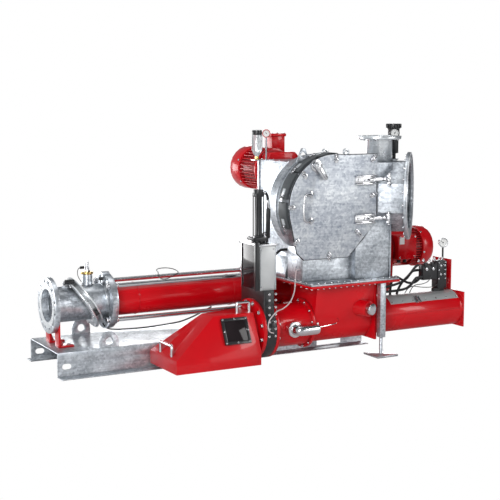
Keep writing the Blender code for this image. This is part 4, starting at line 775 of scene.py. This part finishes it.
# %% Straps
HINGE = Vector((0.645, -0.555, 0))
STRAP_END, ARM_START = 0.565, 0.515
strap_heights = []
for side in ("upper", "lower"):
    low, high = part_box(f"door_strap_{side}")
    z = (low[2] + high[2]) / 2
    strap_heights.append(z)
    middle, length = (low[0] + STRAP_END) / 2, STRAP_END - low[0]
    channel = [slab((length, 0.004, 0.054), (middle, DOOR_FACE_Y - 0.0023, z))]
    channel += [slab((length, 0.020, 0.008), (middle, DOOR_FACE_Y - 0.0103, z + rail))
                for rail in (-0.025, 0.025)]
    arm = slab((HINGE.x - ARM_START, 0.011, 0.020), ((HINGE.x + ARM_START) / 2, DOOR_FACE_Y - 0.0165, z))
    link = slab((0.014, -HINGE.y - 0.515, 0.022), (HINGE.x - 0.002, (HINGE.y - 0.527) / 2, z))
    eye = tube(0.0076, 0.0135, 0.032, 24, at(HINGE.x, HINGE.y, z - 0.016))
    pieces = [rounded(piece, 0.0012) for piece in (*channel, arm, link, eye)]
    fit(f"strap_{side}", pieces, STEEL, 0, "door", (f"door_strap_{side}",))
bolts("strap_bolts", 0.008, fronts((0.440, 0.490), DOOR_FACE_Y - 0.0043, strap_heights), "door")
bolts("strap_arm_bolts", 0.0085, fronts((0.545,), DOOR_FACE_Y - 0.022, strap_heights), "door")
fit("hinge_pin_caps", [rounded(rod(0.011, 0.007, 16, at(HINGE.x, HINGE.y, z + shift)), 0.0015)
                       for z in strap_heights for shift in (0.0345, -0.0415)], STEEL)
print("strap heights:", [round(z, 3) for z in strap_heights])

# %% Handle feet and latch
HANDLE_X = 0.088
handle_low, handle_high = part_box("door_handle")
feet = []
for z in (handle_high[2] - 0.009, handle_low[2] + 0.009):
    pad = rod(0.024, 0.005, 4, front(HANDLE_X + 0.004, DOOR_FACE_Y, z))
    boss = rod(0.0135, 0.012, 20, front(HANDLE_X, DOOR_FACE_Y - 0.004, z), 0.0100)
    feet += [rounded(pad, 0.0015), rounded(boss, 0.001)]
fit("handle_feet", feet, STEEL, 0, "door")
LATCH_X, LATCH_Z = 0.123, 1.238
latch_y = box_point("door_latch", 0, 0, 0).y
fit("latch_plate", rod(0.037, 0.010, 36, front(LATCH_X, DOOR_FACE_Y, LATCH_Z)), STEEL, 0.002, "door")
fit("latch_boss_cap", rod(0.026, 0.010, 32, front(LATCH_X, latch_y, LATCH_Z)), STEEL, 0.003, "latch")
bolts("latch_bolt", 0.011, [front(LATCH_X, latch_y - 0.010, LATCH_Z)], "latch")
along_lever = at(LATCH_X, latch_y - 0.003, LATCH_Z) @ spun(radians(53), "Y") @ at(0.058, 0, 0)
fit("latch_rib", slab((0.080, 0.008, 0.012), place=along_lever), STEEL, 0.002, "latch")
print("latch turns at:", (LATCH_X, LATCH_Z))

# %% [markdown]
# The housing is folded sheet, so its seams stand proud as narrow flanges, and a row of small bolts
# holds it on the trough. Lifting lugs and eyes are welded to its top.

# %% Housing seams, lugs and flange bolts
INSET = 0.022
flange_low, flange_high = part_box("trough_flange")
left_x, right_x = flange_low[0] + INSET - 0.006, flange_high[0] - INSET + 0.006
front_y, side_y = flange_low[1] + INSET, flange_low[1] + INSET + 0.06
top_z, under_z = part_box("housing_lip")[1][2], flange_low[2]
over = [at(point) for point in row((left_x, front_y, top_z), (right_x, front_y, top_z), 14)
        + row((left_x, side_y, top_z), (left_x, -0.26, top_z), 4)]
bolts("flange_bolts", 0.0068, over)
under = [facing(point, -Z_AXIS) for point in row((left_x, front_y, under_z), (0.56, front_y, under_z), 12)
         + row((left_x, side_y, under_z), (left_x, -0.20, under_z), 5)]
bolts("flange_nuts", 0.0078, under)
rear_low, rear_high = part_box("housing_rear")
panel_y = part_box("housing_front")[0][1]
rear_y, rear_z = (rear_low[1] + rear_high[1]) / 2, (rear_low[2] + rear_high[2]) / 2
seams = [slab((0.006, 0.024, rear_high[2] - rear_low[2]), (rear_low[0] - 0.003, y, rear_z))
         for y in (rear_high[1] - 0.012, -0.20)]
seams += [slab((0.020, rear_high[1] - rear_low[1], 0.005),
               (rear_low[0] + 0.004, rear_y, rear_high[2] + 0.0015)),
          slab((0.010, 0.006, 0.30), (0.447, panel_y - 0.002, 0.655)),
          slab((0.012, 0.006, 0.60), (0.712, panel_y - 0.003, 0.80))]
fit("housing_seams", seams, ZINC, 0.0015)
bolts("housing_top_bolts", 0.006, uprights((0.128,), (-0.18, -0.06, 0.06, 0.17), rear_high[2] + 0.004))
fit("housing_gusset", slab((0.008, 0.10, 0.16), (rear_low[0] - 0.004, -0.14, 0.58)), ZINC, 0.002)


def lug(width, height, thickness, hole):
    """A triangular lug with a diamond hole, standing on its own origin and facing along Y."""
    body = slab((width, thickness, height), (0, 0, height / 2))
    edit_faces(body, lambda centre, normal: normal.z > 0.9)
    bpy.ops.transform.resize(value=(0.24, 1, 1), center_override=(0, 0, height))
    object_mode()
    cutter = slab((hole, thickness * 3, hole), place=at(0, 0, height * 0.55) @ spun(pi / 4, "Y"))
    modifier(body, "BOOLEAN", operation="DIFFERENCE", solver="EXACT", object=cutter)
    bpy.data.objects.remove(cutter)
    return rounded(body, 0.002)


LUG_Y = -0.40
fit("lifting_lug", settle(lug(0.104, 0.088, 0.010, 0.030), at(0.099, LUG_Y, 1.252)), ZINC)
eyes = []
for x, z in ((0.261, 1.302), (0.418, 1.300)):
    tongue = slab((0.040, 0.012, 0.050), (x, LUG_Y, z - 0.014))
    ring = tube(0.010, 0.0225, 0.016, 24, front(x, LUG_Y + 0.008, z + 0.010))
    eyes += [rounded(tongue, 0.002), rounded(ring, 0.002)]
fit("drum_eyes", eyes, PLATE_ZINC)
fit("drum_top_plate", slab((0.20, 0.10, 0.010), (0.335, -0.355, 1.282)), ZINC, 0.003)
print("flange bolts:", len(over) + len(under))

# %% [markdown]
# The inlet duct ends in a bolted ring, and a pipe with its own flange stands on top. Holes in the
# round flanges are bolts seen from outside.

# %% Inlet and top nozzle
DUCT_TURN = radians(-41)
DUCT_AXIS = Vector((cos(DUCT_TURN), sin(DUCT_TURN), 0))
DUCT_SIDE = Vector((-sin(DUCT_TURN), cos(DUCT_TURN), 0))
INLET_R, INLET_T = 0.286, 0.020
inlet = box_point("inlet_flange", 0.5, 0.5, 0.5)
inlet_bolts = around(inlet - DUCT_AXIS * INLET_T / 2, -DUCT_AXIS, 0.266, 20, 0.16)
bolts("inlet_bolts", 0.0095, inlet_bolts)
rim_place = facing(inlet + DUCT_AXIS * INLET_T / 2, DUCT_AXIS)
fit("inlet_rim", tube(INLET_R - 0.012, INLET_R - 0.001, 0.003, 64, rim_place), PLATE_ZINC)
nozzle_foot, nozzle_top = (box_point("top_nozzle", 0.5, 0.5, share) for share in (0, 1))
bolts("nozzle_bolts", 0.0085, around(nozzle_top - Z_AXIS * 0.020, -Z_AXIS, 0.122, 8))
fit("nozzle_sealing_face", tube(0.079, 0.104, 0.002, 48, at(nozzle_top - Z_AXIS * 0.0005)), PLATE_ZINC)
fit("nozzle_weld", wire_ring(0.0845, 0.0035, at(nozzle_foot + Z_AXIS * 0.002)), ZINC)
print("inlet bolts:", len(inlet_bolts))

# %% [markdown]
# Each gauge is a dark bezel round a white dial with a needle. One function places it on the case
# that the frame holds, a little proud of its face.

# %% Gauges
GAUGE_AIM = radians(-119)
GAUGE_FRONT = Vector((cos(GAUGE_AIM), sin(GAUGE_AIM), 0))
CASE_T = 0.028


def gauge(name, centre, radius, bezel_look, needle):
    """A bezel, a dial with marks and a needle on a round case."""
    place = facing(Vector(centre) + GAUGE_FRONT * CASE_T / 2, GAUGE_FRONT)

    def hand(angle, length, width, thick, reach, height):
        return slab((radius * length, radius * width, thick),
                    place=place @ spun(angle) @ at(radius * reach, 0, height))

    fit(f"{name}_bezel", tube(radius * 0.84, radius * 1.04, 0.006, 36, place), bezel_look, 0.0015)
    fit(f"{name}_dial", rod(radius * 0.86, 0.0016, 32, place), DIAL)
    marks = [hand(pi * (step / 5 - 0.25), 0.16, 0.05, 0.0006, 0.66, 0.0019) for step in range(8)]
    pointer = hand(needle, 0.72, 0.07, 0.0008, 0.22, 0.0024)
    fit(f"{name}_needle", [*marks, pointer, rod(radius * 0.13, 0.0034, 12, place)], BLACK)


REGULATOR = Vector((0.7923, -0.3572, 0)) + DUCT_SIDE * 0.2126
GAUGE_Z = 1.418
regulator_dial = REGULATOR + GAUGE_FRONT * 0.0493 + Z_AXIS * GAUGE_Z
gauge("reservoir_gauge", (0.1314, 0.1204, GAUGE_Z), 0.026, RED, 2.2)
gauge("regulator_gauge", regulator_dial, 0.0315, BLACK, 1.0)
gauge("block_gauge", (1.262, -0.33, 0.674), 0.0315, STEEL, 2.6)
print("regulator dial at:", [round(number, 3) for number in regulator_dial])

# %% Reservoir and regulator fittings
reservoir_foot, reservoir_top = (box_point("oil_reservoir", 0.5, 0.5, share) for share in (0, 1))
cap_profile = [(0.0325, 0), (0.0335, 0.004), (0.0335, 0.024), (0.030, 0.0325), (0.012, 0.0335)]
fit("reservoir_cap", turned(cap_profile, 28, at(reservoir_top - Z_AXIS * 0.0325)), BLACK)
fit("reservoir_foot", rod(0.014, 0.020, 6, at(reservoir_foot)), BRASS, 0.002)
fit("reservoir_rods", [rod(0.003, 0.10, 8, at(reservoir_foot + Vector((x, y, 0.058))))
                       for x, y in ((-0.036, 0), (0.02, -0.03), (0.02, 0.03))], STEEL)
regulator_top = REGULATOR + Z_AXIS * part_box("air_regulator")[1][2]
knob = at(regulator_top - Z_AXIS * 0.015)
ridges = [slab((0.010, 0.007, 0.026), (0.0475, 0, 0), knob @ spun(pi * step / 8)) for step in range(16)]
fit("regulator_knob_grips", [rounded(ridge, 0.0015) for ridge in ridges], BLACK)
bowl_ring = wire_ring(0.0355, 0.003, at(regulator_top - Z_AXIS * 0.10), 28)
drain = rounded(rod(0.010, 0.018, 12, at(REGULATOR + Z_AXIS * 1.262)), 0.002)
fit("regulator_bowl_fittings", [bowl_ring, drain], STEEL)
print("reservoir stands at:", [round(number, 3) for number in reservoir_foot])

# %% [markdown]
# The mixer's motor and the pump's motor are the same kind: a finned barrel, a cowl with a grille
# over the fan, and a terminal box with a lid. The fins are thin plates round the barrel, modelled
# once and copied.


# %% Motors
def fins(name, centre, axis, inner, outer, low, high, count, skip=()):
    """Radial fins along a barrel, as one piece."""
    plate = slab((outer - inner, 0.0045, high - low), ((inner + outer) / 2, 0, (low + high) / 2))
    places = [facing(centre, axis) @ spun(2 * pi * step / count)
              for step in range(count) if step not in skip]
    repeated(name, rounded(plate, 0.001, 1), places, RED)


def grille(name, place, radius, depth):
    """The slotted end of a fan cowl: rings and spokes over a dark disc, which is painted shade for the
    cowl's inside.
    """
    # A black disc behind the slots paints the shade inside the cowl.
    fit(f"{name}_painted_shade_disc", rod(radius * 0.86, 0.002, 40, place), BLACK)
    rings = [tube(radius * share - 0.003, radius * share + 0.003, depth, 40, place)
             for share in (0.3, 0.46, 0.62, 0.78)]
    rings.append(tube(radius * 0.86, radius, depth, 48, place))
    spokes = [slab((radius * 0.75, 0.006, depth), (radius * 0.49, 0, depth / 2), place @ spun(pi * step / 4))
              for step in range(8)]
    hub = rod(radius * 0.2, depth, 24, place)
    fit(name, rounded(join_all(name, [*rings, *spokes, hub]), 0.0008, 1), RED)


MIXER = Vector((0.295, 0, 1.165))
LID_X, LID_Y, LID_SCREW = 0.335, 0.36, 0.046
mixer_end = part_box("mixer_motor")[1][1]
fins("mixer_fins", MIXER, Y_AXIS, 0.119, 0.143, 0.335, 0.532, 36)
fit("mixer_end_shield", tube(0.10, 0.146, 0.020, 48, facing(MIXER + Y_AXIS * 0.302, Y_AXIS)), RED, 0.003)
grille("mixer_grille", facing(MIXER + Y_AXIS * (mixer_end - 0.001), Y_AXIS), 0.135, 0.005)
bolts("mixer_cowl_screws", 0.006, around(MIXER + Y_AXIS * 0.553, Y_AXIS, 0.150, 6, 0.4, outward=True))
bolts("mixer_gear_bolts", 0.010, [facing((x, 0.30, z), Y_AXIS) for x, z in
                                  ((0.22, 1.265), (0.416, 1.265), (0.158, 1.02), (0.372, 0.93))])
lid_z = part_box("mixer_terminal_box")[1][2]
fit("mixer_terminal_lid", slab((0.116, 0.116, 0.020), (LID_X, LID_Y, lid_z - 0.008)), RED, 0.004)
bolts("mixer_lid_screws", 0.0055, uprights((LID_X - LID_SCREW, LID_X + LID_SCREW),
                                           (LID_Y - LID_SCREW, LID_Y + LID_SCREW), lid_z + 0.002))
print("mixer motor ends at y:", round(mixer_end, 3))

# %% Pump motor
MOTOR = Vector((0, 0.10, 0.60))
pump_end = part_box("pump_motor")[1][0]
fins("pump_fins", MOTOR, X_AXIS, 0.112, 0.134, 1.245, 1.313, 44)
fins("pump_fins_rear", MOTOR, X_AXIS, 0.112, 0.134, 1.10, 1.2447, 44, range(13, 31))
bolts("pump_cowl_screws", 0.006, around(MOTOR + X_AXIS * 1.325, X_AXIS, 0.145, 6, 0.2, outward=True))
grille("pump_grille", facing(MOTOR + X_AXIS * (pump_end - 0.001), X_AXIS), 0.098, 0.005)
box_front = box_point("pump_terminal_box", 0.5, 0, 0.5)
box_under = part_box("pump_terminal_box")[0][2]
fit("pump_terminal_lid", slab((0.156, 0.022, 0.170), box_front + Y_AXIS * 0.008), RED, 0.005)
bolts("pump_lid_screws", 0.0055, fronts((box_front.x - 0.064, box_front.x + 0.064), box_front.y - 0.003,
                                        (box_front.z - 0.071, box_front.z + 0.071)))
fit("bare_name_plate", slab((0.040, 0.0016, 0.048), (1.112, box_front.y - 0.0036, 0.664)), DIAL)
fit("cable_glands", [rod(0.014, 0.030, 8, facing((x, -0.02, box_under), -Z_AXIS)) for x in (1.12, 1.17)],
    BLACK, 0.0015)
bolts("pump_gear_bolts", 0.011, [facing((0.92, y, z), -X_AXIS) for y, z in
                                 ((0.02, 0.62), (0.18, 0.62), (0.02, 0.34), (0.22, 0.36), (0.10, 0.70))])
bolts("adapter_bolts", 0.010, around((0.7605, PUMP_Y, PUMP_Z), X_AXIS, 0.105, 8, 0.2)
      + around((0.8995, PUMP_Y, PUMP_Z), -X_AXIS, 0.105, 8, 0.2))
print("pump motor ends at x:", round(pump_end, 3))

# %% [markdown]
# The valve block carries its pipe unions and two solenoid plugs. Two open hoses and two thin wires
# leave it and run down into the tube beside it. A hexagon, a collar and a stub make one union, and
# the unions differ only in size.


# %% Valve block
def union(place, radius, length):
    """A pipe union: a hexagon, a collar and a stub."""
    nut = rounded(rod(radius, length * 0.5, 6), radius * 0.12, 1)
    return settle(join_all("union_master", [nut, rod(radius * 0.78, length * 0.75, 16),
                                            rod(radius * 0.5, length, 12)]), place)


block_low, block_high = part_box("hydraulic_block")
block_y = block_low[1]
UNION_XS, UNION_Z, COIL_XS = (1.06, 1.10, 1.15, 1.19, 1.232, 1.258), 0.551, (1.10, 1.155)
tops = [union(at(x, -0.33, UNION_Z), 0.009 + 0.002 * (step % 2), 0.020 + 0.004 * (step % 2))
        for step, x in enumerate(UNION_XS) if x < block_high[0] - 0.005]
port_places = fronts((1.218, 1.250), block_y + 0.0005, (0.522, 0.462))
ports = [union(place, 0.0085, 0.014) for place in port_places]
fit("valve_unions", tops + ports, STEEL)
plugs = [slab((0.026, 0.020, 0.030), (x, block_y + 0.010, 0.535)) for x in COIL_XS]
fit("solenoid_plugs", plugs, BLACK, 0.003)
coils = [rod(0.011, 0.028, 20, front(x, block_y + 0.020, 0.505)) for x in COIL_XS]
fit("solenoid_coils", coils, STEEL, 0.002)
bolts("block_screws", 0.0042, fronts((1.208, 1.262), block_y + 0.0008, (0.432, 0.492, 0.542)))
OPEN_HOSES = (
    [(1.04, -0.35, 0.535), (1.01, -0.36, 0.53), (0.985, -0.33, 0.47), (0.955, -0.29, 0.42),
     (0.93, -0.27, 0.36), (0.92, -0.27, 0.31)],
    [(1.10, -0.34, 0.48), (1.06, -0.33, 0.42), (1.02, -0.28, 0.40), (0.98, -0.24, 0.43),
     (0.92, -0.25, 0.46), (0.87, -0.27, 0.40), (0.87, -0.27, 0.31)])
COIL_WIRES = (
    [(1.16, -0.35, 0.475), (1.14, -0.36, 0.43), (1.10, -0.34, 0.40), (1.04, -0.28, 0.39),
     (1.02, -0.28, 0.32)],
    [(1.24, -0.35, 0.43), (1.20, -0.37, 0.385), (1.10, -0.35, 0.375), (1.02, -0.26, 0.39),
     (0.99, -0.26, 0.31)])
for number in (1, 2):
    fit(f"open_hose_{number}", pipe_bend(OPEN_HOSES[number - 1], 0.0085), RUBBER)
    fit(f"coil_wire_{number}", pipe_bend(COIL_WIRES[number - 1], 0.0028, 2), BLACK)
print("unions:", len(tops) + len(ports))

# %% [markdown]
# A bright sheet strap covers the upper front of the tube. It is a cylinder of which only the faces
# in that part are kept, and the Solidify modifier gives them the sheet's thickness.

# %% Tube strap
TUBE_R, STRAP_R, STUD_TURN, CLIP_TURN = 0.1205, 0.1212, 0.82, 0.85
tube_y = box_point("trough_tube", 0, 0.5, 0).y


def on_tube(x, turn, radius):
    """A place on the tube's front that faces away from its axis."""
    spoke = Vector((0, -cos(turn), sin(turn)))
    return facing(Vector((x, tube_y, SCREW_Z)) + spoke * radius, spoke)


cover = rod(TUBE_R, 0.56, 72, facing((0.77, tube_y, SCREW_Z), X_AXIS))
edit_faces(cover, lambda centre, normal: centre.y > tube_y + 0.05 or centre.z < SCREW_Z + 0.080
           or abs(normal.x) > 0.5)
bpy.ops.mesh.delete(type="FACE")
object_mode()
fit("tube_strap", modifier(cover, "SOLIDIFY", thickness=0.0016, offset=1), COVER)
bolts("strap_studs", 0.0045, [on_tube(x, STUD_TURN, STRAP_R) for x in
                              (0.785, 0.87, 0.955, 1.06, 1.145, 1.23, 1.315)])
clip = on_tube(0.99, CLIP_TURN, 0.1215)
plate = rounded(slab((0.05, 0.05, 0.006), (0, 0, 0.003), clip), 0.002)
bar = rod(0.0055, 0.05, 16, clip @ at(0, -0.025, 0.009) @ spun(-pi / 2, "X"))
fit("strap_clip", [plate, bar], STEEL)
print("strap over the tube at y:", round(tube_y, 3))

# %% [markdown]
# The window sits in a black frame whose screws are spaced evenly along each side. The hood's two
# grips wear bright sleeves, bent through the same corners as the grips.

# %% Hood window and grips
LEAN = atan2(0.10, 0.225)
RIM_X, RIM_Z = 0.079, 0.073
pane = at(box_point("hood_window", 0.5, 0.5, 0.5)) @ spun(-LEAN, "X")
rim = [slab((0.176, 0.005, 0.018), (0, -0.0075, z), pane) for z in (-RIM_Z, RIM_Z)]
rim += [slab((0.018, 0.005, 0.130), (x, -0.0075, 0), pane) for x in (-RIM_X, RIM_X)]
fit("window_frame", rim, BLACK, 0.001)
bolts("window_screws", 0.0048, [pane @ front(x, -0.0098, z) for x in (-RIM_X, 0, RIM_X)
                                for z in (-RIM_Z, 0, RIM_Z) if x or z])


def bright_grip(name, start, end, height=0.065, bend=0.014):
    """A chromed sleeve over a grip of the hood, with the grip's own height and bends."""
    start, end = Vector(start), Vector(end)
    inward = (end - start).normalized() * bend

    def corner(foot, turn):
        top = foot + Z_AXIS * height
        return [top - Z_AXIS * bend * 2, top - Z_AXIS * bend, top + turn * 0.15, top + turn, top + turn * 2]

    fit(name, pipe_bend([start, *corner(start, inward), *corner(end, -inward)[::-1], end], 0.0095), STEEL)


bright_grip("left_grip_sleeve", (-0.83, -0.445, 0.127), (-0.83, -0.285, 0.127))
bright_grip("right_grip_sleeve", (-0.375, -0.41, 0.341), (-0.29, -0.41, 0.341))
print("window leans by:", round(LEAN, 3))

# %% [markdown]
# The drain is a bent pipe between rings. The thin line that leaves it turns back to the trough.

# %% Drain elbow
DRAIN_X, DRAIN_Y = -0.012, -0.548
drain_z = box_point("drain_elbow", 0, 0, 0.5).z
drain_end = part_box("drain_elbow")[1][0]
rings = [tube(0.026, 0.034 - 0.002 * (step % 2), 0.007, 28, front(DRAIN_X, -0.488 - step * 0.008, drain_z))
         for step in range(3)]
rings.append(tube(0.0255, 0.030, 0.010, 28, facing((drain_end - 0.014, DRAIN_Y, drain_z), X_AXIS)))
fit("drain_unions", rings, STEEL, 0.001)
fit("drain_bend", pipe_bend([(DRAIN_X, -0.498, drain_z), (DRAIN_X, -0.545, drain_z),
                             (DRAIN_X + 0.03, -0.550, drain_z), (drain_end - 0.016, DRAIN_Y, drain_z)],
                            0.0335, 6), STEEL)
worm_middle = (drain_end - 0.009, DRAIN_Y, drain_z + 0.034)
fit("drain_worm", slab((0.016, 0.010, 0.012), worm_middle), STEEL, 0.002)
thin_line = [(drain_end - 0.004, DRAIN_Y, drain_z + 0.010), (0.20, DRAIN_Y, drain_z + 0.014),
             (0.28, -0.53, drain_z + 0.02), (0.33, -0.48, drain_z + 0.035), (0.34, -0.40, drain_z + 0.035)]
fit("drain_line", pipe_bend(thin_line, 0.0035, 2), STEEL)
print("drain at z:", round(drain_z, 3))

# %% [markdown]
# Two thin wires remain: a loop beside the tie rods and the tapping's cable under the stator.
# Each is a curve with a round bevel, because a curve follows a few points and stays smooth.

# %% Wires
loop = [(-0.708, 0.014, 0.567), (-0.72, -0.01, 0.53), (-0.66, -0.01, 0.52), (-0.60, 0.02, 0.535),
        (-0.556, 0.014, 0.556), (-0.575, 0.10, 0.572), (-0.64, 0.12, 0.575), (-0.708, 0.06, 0.575),
        (-0.708, 0.014, 0.567)]
fit("tie_rod_wire", pipe_bend(loop, 0.0028, 2), BLACK)
cable = [(-1.10, 0.06, 0.335), (-1.05, 0.09, 0.24), (-1.00, 0.10, 0.213), (-0.90, 0.10, 0.206),
         (-0.764, 0.10, 0.203), (-0.624, 0.10, 0.209), (-0.461, 0.10, 0.222), (-0.30, 0.08, 0.30)]
fit("tapping_cable", pipe_bend(cable, 0.0045, 2), BLACK)
print("wires drawn through", len(loop), "and", len(cable), "points")

# %% [markdown]
# The door's seal is the door's own shape again, a little wider and much thinner, against its back.

# %% Door seal
SEAL_WIDER, SEAL_THINNER = 1.012, 0.35
door_back = box_point("door", 0.5, 1, 0.5)
seal = merged("door")
thinner = Matrix.Diagonal((SEAL_WIDER, SEAL_THINNER, SEAL_WIDER, 1))
seal.data.transform(at(door_back) @ thinner @ at(-door_back))
fit("door_seal", seal, RUBBER, 0, "door")
print("door's back at:", [round(number, 3) for number in door_back])

# %% [markdown]
# The studio: a white floor and backdrop that the camera sees at full white, as in a catalogue
# picture cut out from its room. Zinc and gloss paint show mostly what they reflect, so the room is
# bright at its left and toward the horizon, dark overhead and dim at the right. Four cards, two at
# the left, one at the horizon and one before the door, give the sheets and pipes their bright edges.


# %% Floor and backdrop
def seen_apart(tree, lit, shown, end):
    """Lights the room with one shader, and shows the camera another."""
    both = add(tree, "ShaderNodeMixShader").inputs
    camera_ray = add(tree, "ShaderNodeLightPath").outputs["Is Camera Ray"]
    for socket, value in zip(both, (camera_ray, lit.outputs[0], shown.outputs[0])):
        feed(tree, socket, value)
    feed(tree, tree.nodes[end].inputs["Surface"], both[0].node.outputs[0])


bpy.ops.mesh.primitive_plane_add(size=40, location=(0, 0, -0.0005))
floor = bpy.context.object
floor.name = "studio_floor"
pale = bpy.data.materials.new("studio_white")
pale.use_nodes = True
matte = pale.node_tree.nodes["Principled BSDF"]
matte.inputs["Base Color"].default_value = (0.80, 0.80, 0.80, 1)
matte.inputs["Roughness"].default_value = 0.9
pure = add(pale.node_tree, "ShaderNodeEmission", Color=(1, 1, 1, 1), Strength=1.0)
seen_apart(pale.node_tree, matte, pure, "Material Output")
floor.data.materials.append(pale)

# %% Lights
MACHINE = Vector((0.1, -0.1, 0.7))
SOFTBOXES = {
    "key_light": ((-4.6, -5.4, 3.6), (2.4, 2.4), 230), "fill_light": ((4.6, -5.6, 3.0), (1.6, 2.4), 90),
    "top_light": ((0.0, 0.4, 5.2), (4.5, 3.0), 70), "back_card": ((-3.4, 5.6, 0.6), (3.6, 2.6), 210),
    "left_card": ((-4.7, -4.2, 0.5), (2.6, 2.0), 75), "horizon_card": ((3.6, 6.4, 1.0), (6.0, 1.6), 150),
    "door_card": ((4.0, -7.4, 0.4), (5.0, 3.6), 80),
}
for name, (place, size, power) in SOFTBOXES.items():
    bpy.ops.object.light_add(type="AREA", location=place)
    light = bpy.context.object
    light.name = name
    light.rotation_euler = (MACHINE - Vector(place)).to_track_quat("-Z", "Y").to_euler()
    light.data.shape = "RECTANGLE"
    light.data.size, light.data.size_y = size
    light.data.energy = power
    light.visible_camera = False
print("lights:", len(SOFTBOXES))

# %% Room
world = bpy.data.worlds.new("studio")
world.use_nodes = True
tree = world.node_tree
white = tree.nodes["Background"]
white.inputs["Color"].default_value = (1.0, 1.0, 1.0, 1)
where = add(tree, "ShaderNodeTexCoord").outputs["Generated"]
toward = add(tree, "ShaderNodeVectorMath", {"operation": "DOT_PRODUCT"}, Vector=where)
toward.inputs[1].default_value = (-0.86, 0.10, -0.50)
level = spread(tree, toward.outputs["Value"], 0.10, 0.62, From_Min=-0.8, From_Max=0.9)
room = add(tree, "ShaderNodeBackground", Color=(0.90, 0.95, 1.0, 1), Strength=level)
seen_apart(tree, room, white, "World Output")
SCENE.world = world
SCENE.view_settings.view_transform = "Standard"
SCENE.view_settings.look = "None"
